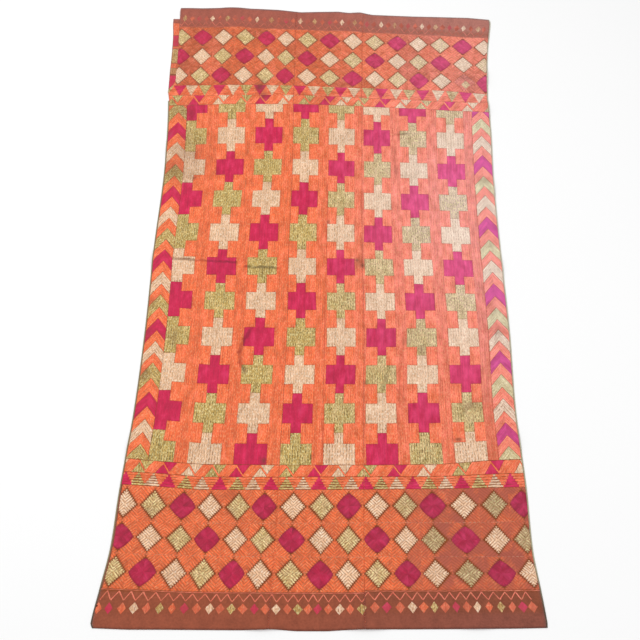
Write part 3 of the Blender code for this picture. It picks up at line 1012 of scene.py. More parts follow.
    def lay(self, on_pleat=False):
        """Lays the work on the cloth as a piece, without what reaches past the cloth's edges."""
        self.bm.verts.index_update()
        flat = np.array([vertex.co for vertex in self.bm.verts])
        x, y = flat[:, 0], flat[:, 1]
        shake_x = HAND_SHAKE * np.sin(SHAKE_X[0] * y + 2 * np.sin(SHAKE_X[1] * x))
        shake_y = HAND_SHAKE * np.sin(SHAKE_Y[0] * x + 2 * np.sin(SHAKE_Y[1] * y))
        across, pattern_along = (x + shake_x) / FLAT_WIDTH, y + shake_y
        along = np.clip(pattern_along + wander_at(across, pattern_along), 0.0, LENGTH)
        left, right = left_cloth_edge(along) + EDGE_CLEAR, right_cloth_edge(along) - EDGE_CLEAR
        if on_pleat:
            left = pleat_left_edge(along) + EDGE_CLEAR
        x = x_of(across, along)
        past = (x < left) | (x > right)
        x = np.clip(x, left, right)
        lift = KHADDAR_WALL + FLOSS_HEIGHT * flat[:, 2] - FLOSS_SUNK
        placed = lay_down(x, along, lift)
        if on_pleat:
            placed[:, 2] = lift
        at = self.bm.verts.layers.float_vector.new("placed")
        for vertex, place in zip(self.bm.verts, placed):
            vertex[at] = place
        lost = [face for face in self.bm.faces if all(past[v.index] for v in face.verts)]
        bmesh.ops.delete(self.bm, geom=lost, context="FACES")
        mesh = mesh_of(self.bm, self.name)
        placed = np.empty(len(mesh.vertices) * 3, np.float32)
        mesh.attributes["placed"].data.foreach_get("vector", placed)
        placed = placed.reshape(-1, 3).astype(np.float64)
        mesh.attributes.remove(mesh.attributes["placed"])
        slot = SLOTS.get(self.colour, "silk_" + self.colour)
        return make_piece(self.name, mesh, placed, FLOSS[self.colour])


# ---------------------------------------------------------------- field
# Stepped crosses darned in columns over an orange ground, tip to tip. The columns' places are
# shares of the width, and the rows' are where the tips of neighbouring crosses meet.

Column = namedtuple("Column", "arm_left stem_left stem_right arm_right")
CROSS_COLUMNS = (
    Column(-0.4410, -0.4410, -0.4090, -0.3765),
    Column(-0.3420, -0.3135, -0.2870, -0.2585),
    Column(-0.2265, -0.1975, -0.1710, -0.1430),
    Column(LEFT_SEAM, -0.0865, -0.0600, -0.0310),
    Column(-0.0005, 0.0265, 0.0490, 0.0790),
    Column(0.1070, 0.1375, 0.1610, 0.1880),
    Column(0.2175, 0.2440, 0.2700, 0.2995),
    Column(0.3310, 0.3605, 0.3865, 0.4135),
)
CROSS_TIPS = (
    0.4705, 0.606, 0.744, 0.8785, 1.0155, 1.1505, 1.2855, 1.428, 1.5665, 1.705, 1.855, 1.992,
)
ARMS_FROM, ARMS_TO = 0.235, 0.74  # of a row
FIELD_NEAR, FIELD_FAR = 0.5018, 1.9252
FIELD_LEFT, FIELD_RIGHT = -0.4410, 0.4405
FIELD_CELL = 0.006
LEAST_COLUMN, LEAST_ROW = 0.001, 0.003
CROSS_ORDER = ("magenta", "green", "cream")
CROSS_TONES = (0.35, 0.65)
GROUND_TONES = {"beside": 0.66, "strip": 0.34}
TONE_SHAKE = 0.08
ROWS_SHOW_TO = 0.62  # along, up to where the painted shadows between rows of stitches are deepest
DEEP_ROWS, GROUND_ROWS = 1.0, 0.9
NEAR_CREAM_DULL, NEAR_CREAM_WASH = 0.22, -0.12  # left of the middle
GREEN_WASH, STRIP_WASH = 0.06, 0.08  # to the right they have faded more than the rest
# The strip beside the right border is duller, most at its near end, and paler beyond that.
LAST_STRIP_DULL = ((0.7, 1.3), (0.14, 0.04))
LAST_STRIP_PALE = ((0.62, 0.72), (0.0, 0.18))
GROUND_GAP, CROSS_GAP = 0.0002, 0.0006
JITTER = 0.0011

field_lines = [FIELD_LEFT]
for column in CROSS_COLUMNS:
    field_lines += [share for share in column if share > field_lines[-1] + LEAST_COLUMN]
field_lines += [RIGHT_SEAM, FIELD_RIGHT]
field_lines = sorted(field_lines)

row_lines = []
for near_tip, far_tip in zip(CROSS_TIPS, CROSS_TIPS[1:]):
    pitch = far_tip - near_tip
    row_lines += [near_tip, near_tip + ARMS_FROM * pitch, near_tip + ARMS_TO * pitch]
inside = [line for line in row_lines if FIELD_NEAR + LEAST_ROW < line < FIELD_FAR - LEAST_ROW]
row_lines = [FIELD_NEAR, *inside, FIELD_FAR]


def cross_at(across, along):
    """The colour and row of the cross over this point, or no colour and which ground it is."""
    row = sum(along > tip for tip in CROSS_TIPS) - 1
    near_tip, far_tip = CROSS_TIPS[row], CROSS_TIPS[row + 1]
    share = (along - near_tip) / (far_tip - near_tip)
    for number, column in enumerate(CROSS_COLUMNS):
        if column.arm_left < across < column.arm_right:
            in_stem = column.stem_left < across < column.stem_right
            if in_stem or ARMS_FROM < share < ARMS_TO:
                return CROSS_ORDER[(len(CROSS_TIPS) - 2 - row + number) % 3], row
            return None, "beside"
    return None, "strip"


field_works = {colour: Work("crosses_" + colour, colour) for colour in CROSS_ORDER}
grounds = [Work("ground_" + side, "orange") for side in ("left", "centre", "right")]
corner_shift = {
    (i, j): (chance.uniform(-JITTER, JITTER), chance.uniform(-JITTER, JITTER))
    for i in range(len(field_lines))
    for j in range(len(row_lines))
}


def field_corner(i, j):
    """Where two lines of the field meet, a little off as hand work is, but straight at seams."""
    shift_x, shift_y = corner_shift[i, j]
    share = field_lines[i]
    if share in (LEFT_SEAM, RIGHT_SEAM, FIELD_LEFT, FIELD_RIGHT):
        shift_x = 0.0
    if j in (0, len(row_lines) - 1):
        shift_y = 0.0
    return (share * FLAT_WIDTH + shift_x, row_lines[j] + shift_y)


tones = {}
for i, (left, right) in enumerate(zip(field_lines, field_lines[1:])):
    columns = cells((right - left) * FLAT_WIDTH, FIELD_CELL)
    middle = (left + right) / 2
    for j, (near, far) in enumerate(zip(row_lines, row_lines[1:])):
        rows = cells(far - near, FIELD_CELL)
        colour, part = cross_at(middle, (near + far) / 2)
        corners = [field_corner(*at) for at in ((i, j), (i + 1, j), (i + 1, j + 1), (i, j + 1))]
        if colour:
            key = (part, sum(middle > column.arm_right for column in CROSS_COLUMNS))
            tone = tones.setdefault(key, chance.uniform(*CROSS_TONES))
            tone += chance.uniform(-TONE_SHAKE, TONE_SHAKE)
            wash = GREEN_WASH if colour == "green" and middle > 0 else 0.0
            if colour == "cream" and near < ROWS_SHOW_TO and middle < 0:
                tone, wash = tone - NEAR_CREAM_DULL, NEAR_CREAM_WASH
            darning = Darning(tone=tone, wash=wash)
            if near < ROWS_SHOW_TO:
                darning = darning._replace(rows=DEEP_ROWS)
            field_works[colour].four_sided(corners, columns, rows, darning)
        else:
            ground = grounds[(middle > LEFT_SEAM) + (middle > RIGHT_SEAM)]
            tone, age = GROUND_TONES[part], 0.0
            wash = STRIP_WASH if part == "strip" and middle > RIGHT_SEAM else 0.0
            if middle > CROSS_COLUMNS[-1].arm_right:
                age = np.interp(near, *LAST_STRIP_DULL)
                tone -= 2 * age
                wash += np.interp(near, *LAST_STRIP_PALE)
            tone += chance.uniform(-TONE_SHAKE, TONE_SHAKE)
            darning = Darning(0.0, tone, age, GROUND_ROWS, wash)
            ground.four_sided(corners, columns, rows, darning)

for work in (*field_works.values(), *grounds):
    work.part_at_seams()
    work.raise_regions(GROUND_GAP if work in grounds else CROSS_GAP)
    work.lay()

# ---------------------------------------------------------------- chevron borders
# Beside the field, up both long sides, run nested chevrons: a coloured one, then an orange
# one with a thin line of cloth showing up its middle. Their points go up the cloth.

# Outer, inner and point are shares of the width, and tips are where the points reach along.
Border = namedtuple("Border", "outer inner point wash order tips")
BORDERS = (
    Border(-0.4990, -0.4412, -0.4665, 0.0, ("green", "cream", "magenta"),
           (0.462, 0.555, 0.642, 0.738, 0.843, 0.922, 1.008, 1.100, 1.190, 1.280, 1.370, 1.461,
            1.551, 1.647, 1.750, 1.847, 1.946, 2.040)),
    Border(0.4990, 0.4407, 0.4680, 0.34, ("mint", "mauve", "cream"),
           (0.462, 0.550, 0.637, 0.722, 0.810, 0.897, 0.976, 1.062, 1.158, 1.252, 1.340, 1.439,
            1.530, 1.618, 1.713, 1.806, 1.893, 1.980, 2.070)),
)
CHEVRON_SLOPE = 1.22
COLOURED_SHARE = 0.53
BORDER_NEAR, BORDER_FAR = 0.5022, 1.9248
CHEVRON_CELL = 0.008
CHEVRON_RIB = 0.0095
CHEVRON_RIBBED = {
    "orange": 0.34, "magenta": 0.12, "mauve": 0.10, "cream": 0.34, "green": 0.42, "mint": 0.26,
}
COLOURED_TONES, ORANGE_TONES = (0.5, 0.7), (0.75, 0.95)
CHEVRON_GAP = 0.0004

chevrons = {colour: Work("chevrons_" + colour, colour) for colour in DYES}


def chevron(colour, border, tip, depth, tone):
    """One chevron: two slanted arms, this deep straight down, that meet under a tip."""
    point_x = border.point * FLAT_WIDTH
    for end in (border.outer, border.inner):
        end_x = end * FLAT_WIDTH
        drop = abs(end_x - point_x) * CHEVRON_SLOPE
        point, foot = (point_x, tip - depth), (end_x, tip - drop - depth)
        corners = [foot, point, (point_x, tip), (end_x, tip - drop)]
        if end_x > point_x:
            corners = [point, foot, (end_x, tip - drop), (point_x, tip)]
        columns = cells(abs(end_x - point_x), CHEVRON_CELL)
        lean = math.atan(1 / CHEVRON_SLOPE) * (1 if end < border.point else -1)
        darning = Darning(lean, tone, wash=border.wash, ribbed=CHEVRON_RIBBED[colour])
        ribs = round(depth / CHEVRON_RIB)
        chevrons[colour].four_sided(corners, columns, cells(depth, CHEVRON_CELL), darning, ribs)


for border in BORDERS:
    pitch = border.tips[1] - border.tips[0]
    for number, (tip, next_tip) in enumerate(zip(border.tips, border.tips[1:])):
        colour = border.order[(number - 1) % 3]
        chevron(colour, border, tip, pitch * COLOURED_SHARE, chance.uniform(*COLOURED_TONES))
        pitch = next_tip - tip
        depth = pitch * (1 - COLOURED_SHARE)
        for half in (0, 1):
            half_tip = tip + depth * (1 - half / 2)
            chevron("orange", border, half_tip, depth / 2, chance.uniform(*ORANGE_TONES))

for work in chevrons.values():
    work.keep(1, BORDER_NEAR, 1)
    work.keep(1, BORDER_FAR, -1)
    work.raise_regions(CHEVRON_GAP)
    work.lay()

# ---------------------------------------------------------------- triangle bands
# Two bands part the field from each end. The one next to the field holds pairs of triangles,
# one up and one down with a slanting line between them. The other holds stepped triangles,
# darned in level rows, whose points look towards the field.

NEAR_TRIANGLES = (
    -0.490, -0.458, -0.421, -0.382, -0.339, -0.298, -0.254, -0.211, -0.172, -0.128, -0.090, -0.049,
    -0.010, 0.030, 0.070, 0.106, 0.143, 0.182, 0.222, 0.261, 0.302, 0.342, 0.384, 0.424, 0.463,
)
FAR_TRIANGLES = (
    -0.503, -0.464, -0.428, -0.386, -0.342, -0.298, -0.258, -0.215, -0.176, -0.134, -0.091, -0.047,
    -0.003, 0.036, 0.078, 0.121, 0.162, 0.208, 0.248, 0.290, 0.337, 0.381, 0.422, 0.464, 0.503,
)
NEAR_PAIRS = (
    -0.515, -0.452, -0.392, -0.327, -0.268, -0.208, -0.148, -0.083, -0.014, 0.046, 0.109, 0.184,
    0.258, 0.345, 0.427, 0.500,
)
FAR_PAIRS = (
    -0.545, -0.479, -0.411, -0.335, -0.263, -0.204, -0.133, -0.068, -0.004, 0.047, 0.101, 0.167,
    0.230, 0.294, 0.365, 0.436, 0.505,
)
# A base is a share of the width, and points is 1 where triangles point up the cloth. The far
# band's bars lie close, so only the near one's gaps show the cloth.
TriangleRow = namedtuple("TriangleRow", "places order first near far base layers points gaps")
TRIANGLE_ROWS = (
    TriangleRow(NEAR_TRIANGLES, ("magenta", "green", "cream"), 0, 0.4222, 0.4624, 0.0385, 5, 1,
                {"orange": 0.0006, "magenta": 0.0, "cream": 0.0022, "green": 0.0024}),
    TriangleRow(FAR_TRIANGLES, ("magenta", "cream", "green"), 2, 1.9664, 2.0122, 0.0385, 8, -1,
                {"orange": 0.0, "magenta": 0.0, "cream": 0.0002, "green": 0.0002}),
)
PairRow = namedtuple("PairRow", "places order first near far")
PAIR_ROWS = (
    PairRow(NEAR_PAIRS, ("green", "magenta", "cream"), 2, 0.4632, 0.5010),
    PairRow(FAR_PAIRS, ("green", "magenta", "cream"), 2, 1.9256, 1.9660),
)
PAIR_BASE = 0.044
PAIR_TALL = 0.030
PAIR_STEP = 0.0225  # of the down triangle beyond the up one
PAIR_TONES, BETWEEN_TONES = (0.4, 0.6), (0.40, 0.55)
SLASH = Darning(-0.6, 1.1, 0.1)
BAND_CELL = 0.009
BAND_EDGE = 0.4995 * FLAT_WIDTH
LEAST_BAR = 0.001
BAR_SHAKE = 0.0006
BAR_TONES, LAST_BAR_TONE = (0.35, 0.6), 0.45
BAND_GAP, BAR_SLOPE = 0.0005, 0.0004

bands = {colour: Work("bands_" + colour, colour) for colour in COLOURS}
level_bars = {colour: Work("level_" + colour, colour) for colour in COLOURS}


def level_bar(colour, left, right, near, thick, gap, tone):
    columns, far = cells(right - left, BAND_CELL), near + thick - gap / 2
    darning = Darning(math.pi / 2, tone)
    level_bars[colour].rectangle(left, right, near + gap / 2, far, columns, 1, darning)


for row in TRIANGLE_ROWS:
    thick = (row.far - row.near) / row.layers
    for layer in range(row.layers):
        level = layer if row.points > 0 else row.layers - 1 - layer
        near = row.near + level * thick
        reach = row.base * FLAT_WIDTH / 2 * (1 - (layer + 0.25) / row.layers)
        done = -BAND_EDGE
        for number, place in enumerate(row.places):
            middle = place * FLAT_WIDTH + chance.uniform(-BAR_SHAKE, BAR_SHAKE)
            left, right = max(middle - reach, done), min(middle + reach, BAND_EDGE)
            if left - done > LEAST_BAR:
                tone = chance.uniform(*BAR_TONES)
                level_bar("orange", done, left, near, thick, row.gaps["orange"], tone)
            if right - left > LEAST_BAR:
                colour = row.order[(number + row.first) % 3]
                level_bar(colour, left, right, near, thick, row.gaps[colour], MIDDLE_TONE)
                done = right
        if BAND_EDGE - done > LEAST_BAR:
            level_bar("orange", done, BAND_EDGE, near, thick, row.gaps["orange"], LAST_BAR_TONE)

for row in PAIR_ROWS:
    up_apex, down_apex = row.near + PAIR_TALL, row.far - PAIR_TALL
    starts = [place * FLAT_WIDTH - (PAIR_BASE + PAIR_STEP) / 2 for place in row.places]
    for number, start in enumerate(starts):
        colour = row.order[(number + row.first) % 3]
        up_right, down_left = start + PAIR_BASE, start + PAIR_STEP
        peak, dip = (start + PAIR_BASE / 2, up_apex), (down_left + PAIR_BASE / 2, down_apex)
        darning = Darning(tone=chance.uniform(*PAIR_TONES))
        up = [(start, row.near), (up_right, row.near), peak]
        down = [dip, (down_left + PAIR_BASE, row.far), (down_left, row.far)]
        slash = [(up_right, row.near), dip, (down_left, row.far), peak]
        bands[colour].polygon(up, BAND_CELL, darning)
        bands[colour].polygon(down, BAND_CELL, darning)
        bands["orange"].polygon(slash, BAND_CELL, SLASH)
        if number + 1 < len(starts):
            after = starts[number + 1]
            between = [
                (up_right, row.near), (after, row.near), (after + PAIR_BASE / 2, up_apex),
                (after + PAIR_STEP, row.far), (down_left + PAIR_BASE, row.far), dip,
            ]
            slanted = Darning(0.7, chance.uniform(*BETWEEN_TONES))
            bands["orange"].polygon(between, BAND_CELL, slanted)

for colour, work in bands.items():
    work.keep(0, -BAND_EDGE, 1)
    work.keep(0, BAND_EDGE, -1)
    work.part_at_seams()
    work.raise_regions(BAND_GAP)
    level = level_bars[colour]
    level.part_at_seams()
    level.raise_regions(0.0, BAR_SLOPE, merged=False)
    work.take(level.bm)
    work.lay()

# ---------------------------------------------------------------- diamonds of both ends
# Each end holds three rows of diamonds on their points, coloured ones with orange ones between. A
# diamond is darned as four quadrants of slanting ribs that end in small teeth, and cloth shows
# round each one as a dark line painted in shade.

DIAMOND_PLACES = {
    "near": (-0.4810, -0.4110, -0.3390, -0.2730, -0.2045, -0.1415, -0.0710, -0.0010, 0.0640,
             0.1320, 0.2015, 0.2670, 0.3430, 0.4180, 0.4860),
    "far": (-0.4720, -0.4045, -0.3390, -0.2694, -0.2015, -0.1400, -0.0717, -0.0009, 0.0720,
            0.1405, 0.2115, 0.2776, 0.3467, 0.4172, 0.4840),
}
DiamondRow = namedtuple("DiamondRow", "along first")
Pallu = namedtuple("Pallu", "end rows low high left")
PALLUS = (
    Pallu("near", (DiamondRow(0.1660, 2), DiamondRow(0.2670, 1), DiamondRow(0.3695, 0)),
          0.1180, 0.4214, -0.4935),
    Pallu("far", (DiamondRow(2.0595, 0), DiamondRow(2.1520, 1), DiamondRow(2.2470, 2)),
          2.0128, 2.2990, -0.4990),
)
DIAMOND_ORDER = ("cream", "green", "magenta")
# Ribs are counted to a side, and ribbed is how dark the painted shade in the grooves between them
# is.
# Round bulges the sides out, and rim darkens them.
Shape = namedtuple("Shape", "end colour half_wide half_tall ribs ribbed wash round tone rim")
SHAPES = (
    Shape("near", "cream", 0.0376, 0.0416, 8, 1.00, 0.00, 0.00, 0.30, 0.0),
    Shape("near", "green", 0.0376, 0.0416, 8, 1.00, 0.24, 0.00, 0.68, 0.0),
    Shape("near", "magenta", 0.0442, 0.0442, 9, 0.16, 0.00, 0.16, -1.05, -0.4),
    Shape("near", "orange", 0.0488, 0.0546, 10, 0.72, -0.20, 0.00, -0.22, 0.0),
    Shape("far", "cream", 0.0376, 0.0402, 6, 0.44, 0.05, 0.02, 0.08, 0.0),
    Shape("far", "green", 0.0376, 0.0402, 6, 0.44, 0.20, 0.02, 0.50, 0.0),
    Shape("far", "magenta", 0.0430, 0.0425, 8, 0.14, 0.00, 0.15, -0.5, -0.5),
    Shape("far", "orange", 0.0463, 0.0508, 7, 0.40, 0.00, 0.00, -0.75, 0.0),
)
DIAMOND_PITCH = 0.0684  # across, where a row is neither stretched nor squeezed
DIAMOND_SLOPE = 0.0004
MAGENTA_LIFT = 1.6  # it is darned thickest, and laps over the orange beside it
FAR_MAGENTA_AGE = 0.07
RIM = 0.005  # how deep a darker rim reaches
ACROSS_RIBS = (0.006, 0.018)
DIAMOND_CUTS = 5
DIAMOND_TONES = (0.35, 0.65)
DULL_FROM, DULL_TO = 0.13, 0.28  # across the near end, the floss dulls to the right
DULL_TONES = {"cream": 0.1, "green": 1.25, "magenta": 0.15}
DULL_ORANGE, DULL_ORANGE_SPREAD = 0.82, (0.7, 1.1)
TONE_SPREAD, WASH_SPREAD = {"near": 0.20, "far": 0.50}, 0.10  # of the orange ones
FAR_TREND = 0.8  # the far end's orange is lighter to the right
HALF_SIZE = ("far", 2.0595, 0.4172)  # one green diamond is half the size of the others
HALF_SIZE_SHIFT = (0.005, -0.012)
HALF_SIZE_AGE = 0.1
FILLED = 1.14  # and the ground round it is filled in, this much larger than a diamond
FILLED_TONE, FILLED_AGE, FILLED_WASH, FILLED_LIFT = 0.2, 0.12, 0.35, 1.2


def ribbed_diamond(shape, cell):
    """A diamond round the origin: quadrants of ribs square to its sides."""
    whole = Work("diamond", None)
    half_wide, half_tall = shape.half_wide, shape.half_tall
    for side in (-1, 1):
        for end in (-1, 1):
            tip, top = Vector((side * half_wide, 0, 0)), Vector((0, end * half_tall, 0))
            corners = [Vector(), tip, top] if side * end > 0 else [Vector(), top, tip]
            run, outwards = (top - tip), Vector((side * half_tall, end * half_wide, 0)).normalized()
            part = bmesh.new()
            part.faces.new([part.verts.new(corner) for corner in corners])
            for share in range(1, DIAMOND_CUTS):
                cut(part, tip + run * share / DIAMOND_CUTS, run)
            for depth in (RIM if shape.rim else ACROSS_RIBS[0], ACROSS_RIBS[1]):
                cut(part, tip - outwards * depth, outwards)
            rib, from_side = (part.verts.layers.float.new(name) for name in ("rib", "from_side"))
            for vertex in part.verts:
                vertex[rib] = (vertex.co - tip).dot(run) / run.length_squared * shape.ribs
                vertex[from_side] = (tip - vertex.co).dot(outwards)
            lean = math.atan2(outwards.x, outwards.y)
            before = len(whole.bm.faces)
            whole.take(part, Darning(lean, rows=0.0, ribbed=shape.ribbed))
            whole.bm.faces.ensure_lookup_table()
            for face in whole.bm.faces[before:]:
                if (face.calc_center_median() - tip).dot(outwards) > -RIM:
                    face[whole.layers["tone"]] += shape.rim
    for vertex in whole.bm.verts:
        sideways, upwards = abs(vertex.co.x) / half_wide, abs(vertex.co.y) / half_tall
        pointed = 2 * max(sideways, upwards) / max(sideways + upwards, 1e-6) - 1
        vertex.co *= 1 + shape.round * (0.4 - pointed**2)
    for axis in (0, 1):
        for side in (-1, 1):
            whole.keep(axis, side * cell[axis], -side)
    return whole


def to_dull_side(across):
    return smooth_step((across - DULL_FROM) / (DULL_TO - DULL_FROM))


half_size, filled = Work("half_size_diamond", "green"), Work("half_size_ground", "orange")
for pallu in PALLUS:
    colours = {colour: Work(f"diamonds_{pallu.end}_{colour}", colour) for colour in COLOURS}
    shapes = {shape.colour: shape for shape in SHAPES if shape.end == pallu.end}
    templates = {}
    alongs = [row.along for row in pallu.rows]
    step = (alongs[-1] - alongs[0]) / 2
    for colour, shape in shapes.items():
        worked = ribbed_diamond(shape, (DIAMOND_PITCH * FLAT_WIDTH / 2, step / 2))
        templates[colour] = mesh_of(worked.bm, colour)
    places = DIAMOND_PLACES[pallu.end]
    widths = [(after - place) / DIAMOND_PITCH for place, after in zip(places, places[1:])]
    widths = [widths[0]] + [(a + b) / 2 for a, b in zip(widths, widths[1:])] + [widths[-1]]
    for row in pallu.rows:
        for number, place in enumerate(places):
            colour = DIAMOND_ORDER[(number - row.first) % 3]
            middle = (place * FLAT_WIDTH, row.along)
            tone = shapes[colour].tone + chance.uniform(*DIAMOND_TONES)
            if pallu.end == "near":
                tone -= DULL_TONES[colour] * to_dull_side(place)
            old = FAR_MAGENTA_AGE if (pallu.end, colour) == ("far", "magenta") else 0.0
            if (pallu.end, row.along, place) == HALF_SIZE:
                small = (middle[0] + HALF_SIZE_SHIFT[0], middle[1] + HALF_SIZE_SHIFT[1])
                half_size.stamp(
                    templates[colour], small, widths[number] / 2, tone, HALF_SIZE_AGE, tall=0.5
                )
                filled.stamp(
                    templates[colour], middle, widths[number] * FILLED, FILLED_TONE, FILLED_AGE,
                    FILLED_WASH, FILLED,
                )
                continue
            wash = shapes[colour].wash
            colours[colour].stamp(templates[colour], middle, widths[number], tone, old, wash)
    before, last = places[0] - DIAMOND_PITCH, places[-1] + DIAMOND_PITCH
    for along in [alongs[0] - step] + alongs:
        for place, after in zip((before, *places), (*places, last)):
            middle = ((place + after) / 2 * FLAT_WIDTH, along + step / 2)
            width = (after - place) / DIAMOND_PITCH
            spread = TONE_SPREAD[pallu.end]
            tone = shapes["orange"].tone + MIDDLE_TONE + chance.uniform(-spread, spread)
            dull, wash = 0.0, shapes["orange"].wash + chance.uniform(-WASH_SPREAD, WASH_SPREAD)
            if pallu.end == "near":
                dull = DULL_ORANGE * to_dull_side((place + after) / 2)
                dull *= chance.uniform(*DULL_ORANGE_SPREAD)
            else:
                tone += FAR_TREND * place
            colours["orange"].stamp(templates["orange"], middle, width, tone, dull, wash)
    for colour, work in colours.items():
        work.keep(1, pallu.low, 1)
        work.keep(1, pallu.high, -1)
        work.keep(0, pallu.left * FLAT_WIDTH, 1)
        work.part_at_seams()
        work.raise_regions(0.0, DIAMOND_SLOPE)
        if colour == "magenta":
            work.thicken(MAGENTA_LIFT)
        work.lay()

for work, lift in ((half_size, MAGENTA_LIFT), (filled, FILLED_LIFT)):
    work.raise_regions(0.0, DIAMOND_SLOPE)
    work.thicken(lift)
    work.lay()

# ---------------------------------------------------------------- rows of small diamonds
# Near each end the plain cloth carries one row of small diamonds, darned in silk that is worn by
# now. A thin zigzag runs between them and the thin line that closes the dense needlework.

NEAR_SMALL = (
    -0.4925, -0.4680, -0.4390, -0.4125, -0.3840, -0.3550, -0.3270, -0.3000, -0.2725, -0.2435,
    -0.2205, -0.1955, -0.1700, -0.1440, -0.1190, -0.0955, -0.0705, -0.0475, -0.0245, -0.0035,
    0.0200, 0.0455, 0.0690, 0.0945, 0.1230, 0.1500, 0.1800, 0.2070, 0.2320, 0.2560, 0.2800,
    0.3040, 0.3280, 0.3510, 0.3775, 0.4035, 0.4290, 0.4520, 0.4740,
)
FAR_SMALL = (
    -0.4830, -0.4630, -0.4400, -0.4180, -0.3950, -0.3760, -0.3520, -0.3285, -0.3050, -0.2800,
    -0.2580, -0.2345, -0.2110, -0.1890, -0.1650, -0.1420, -0.1200, -0.0975, -0.0750, -0.0520,
    -0.0280, -0.0040, 0.0140, 0.0340, 0.0550, 0.0745, 0.0950, 0.1135, 0.1350, 0.1580, 0.1800,
    0.2005, 0.2215, 0.2425, 0.2650, 0.2865, 0.3080, 0.3290, 0.3500, 0.3725, 0.3950, 0.4165,
    0.4400, 0.4625, 0.4800,
)
SmallRow = namedtuple("SmallRow", "places along wide tall order ages")
SMALL_ROWS = (
    SmallRow(NEAR_SMALL, 0.0660, 0.0260, 0.0340,
             ("orange", "magenta", "orange", "cream", "orange", "green"),
             {"orange": 0.45, "magenta": 0.30, "cream": 0.10, "green": 0.20}),
    SmallRow(FAR_SMALL, 2.3450, 0.0210, 0.0340,
             ("orange", "green", "orange", "magenta", "orange", "cream"),
             {"orange": 0.97, "magenta": 0.75, "cream": 0.12, "green": 0.50}),
)
Zigzag = namedtuple("Zigzag", "places foot peak thick line line_thick age")
ZIGZAGS = (
    Zigzag(NEAR_SMALL, 0.0880, 0.1115, 0.0032, 0.1155, 0.0020, 0.26),
    Zigzag(FAR_SMALL, 2.3270, 2.3060, 0.0028, 2.3020, 0.0020, 0.80),
)

TRIM_CELL = 0.008
SMALL_WIDTHS, SMALL_LEAN, SMALL_TONES = (0.85, 1.12), 0.0015, (0.3, 0.7)
STRAND_WASH = 0.35
TRIM_SLOPE = 0.0006

trims = {colour: Work("trims_" + colour, colour) for colour in COLOURS}
for row in SMALL_ROWS:
    for number, place in enumerate(row.places):
        colour = row.order[number % 6]
        x, wide = place * FLAT_WIDTH, row.wide / 2 * chance.uniform(*SMALL_WIDTHS)
        lean = chance.uniform(-SMALL_LEAN, SMALL_LEAN)
        corners = [
            (x - lean, row.along - row.tall / 2), (x + wide, row.along),
            (x + lean, row.along + row.tall / 2), (x - wide, row.along),
        ]
        darning = Darning(0.0, chance.uniform(*SMALL_TONES), row.ages[colour])
        trims[colour].polygon(corners, TRIM_CELL, darning)


def strand(start, end, thick, age):
    """A straight thin line of old orange floss."""
    run = Vector((end[0] - start[0], end[1] - start[1], 0))
    side = Vector((-run.y, run.x, 0)).normalized() * thick / 2
    a, b = Vector((*start, 0)), Vector((*end, 0))
    corners = [(a - side)[:2], (b - side)[:2], (b + side)[:2], (a + side)[:2]]
    darning = Darning(math.atan2(run.x, run.y), age=age, wash=STRAND_WASH)
    trims["orange"].four_sided(corners, cells(run.length, TRIM_CELL), 1, darning)


for zigzag in ZIGZAGS:
    for place, after in zip(zigzag.places, zigzag.places[1:]):
        left, right = (place * FLAT_WIDTH, zigzag.foot), (after * FLAT_WIDTH, zigzag.foot)
        peak = ((place + after) / 2 * FLAT_WIDTH, zigzag.peak)
        strand(left, peak, zigzag.thick, zigzag.age)
        strand(peak, right, zigzag.thick, zigzag.age)
    ends = (-0.5 * FLAT_WIDTH, zigzag.line), (0.5 * FLAT_WIDTH, zigzag.line)
    strand(*ends, zigzag.line_thick, zigzag.age)

for work in trims.values():
    work.part_at_seams()
    work.raise_regions(0.0, TRIM_SLOPE, merged=False)
    work.lay()

# ---------------------------------------------------------------- level lines
# Loose running stitches in thin old silk cross the near end in level lines, between its rows
# of diamonds.

LevelLine = namedtuple("LevelLine", "along first last")
LEVEL_LINES = (
    LevelLine(0.318, -0.30, 0.46),
    LevelLine(0.2165, -0.44, 0.20),
    LevelLine(0.2165, 0.24, 0.47),
)
LEVEL_STITCH, LEVEL_GAP, LEVEL_THICK = 0.011, 0.004, 0.0011
LEVEL_STITCH_SPREAD = (0.7, 1.2)
LEVEL_THREAD = Darning(math.pi / 2, 0.6, 0.65, 0.0)
THREAD_SLOPE = 0.0002
level_lines = Work("level_lines", "cream")
for line in LEVEL_LINES:
    x = line.first * FLAT_WIDTH
    while x < line.last * FLAT_WIDTH:
        end = x + LEVEL_STITCH * chance.uniform(*LEVEL_STITCH_SPREAD)
        low, high = line.along - LEVEL_THICK / 2, line.along + LEVEL_THICK / 2
        level_lines.rectangle(x, end, low, high, 2, 1, LEVEL_THREAD)
        x = end + LEVEL_GAP
level_lines.part_at_seams()
level_lines.raise_regions(0.0, THREAD_SLOPE, merged=False)
level_lines.thicken(MAGENTA_LIFT)
level_lines.lay()

# ---------------------------------------------------------------- pleated corner
# The strip of the lower layer that shows at the far left corner carries the ends of the same
# diamonds and bands, as blocks of colour.

Block = namedtuple("Block", "colour near far age")
PLEAT_BLOCKS = (
    Block("orange", 1.9720, 2.0000, 0.2),
    Block("magenta", 2.0010, 2.0620, 0.2),
    Block("green", 2.0680, 2.0960, 0.5),
    Block("orange", 2.0980, 2.1200, 0.3),
    Block("green", 2.1220, 2.1900, 0.4),
    Block("orange", 2.1920, 2.2030, 0.4),
    Block("magenta", 2.2050, 2.2560, 0.3),
    Block("orange", 2.2580, 2.3200, 0.3),
)
PLEAT_LEFT, PLEAT_RIGHT = -0.499 * FLAT_WIDTH, -0.4705 * FLAT_WIDTH
PLEAT_COLUMNS, PLEAT_CELL = 4, 0.008
PLEAT_GAP = 0.0006

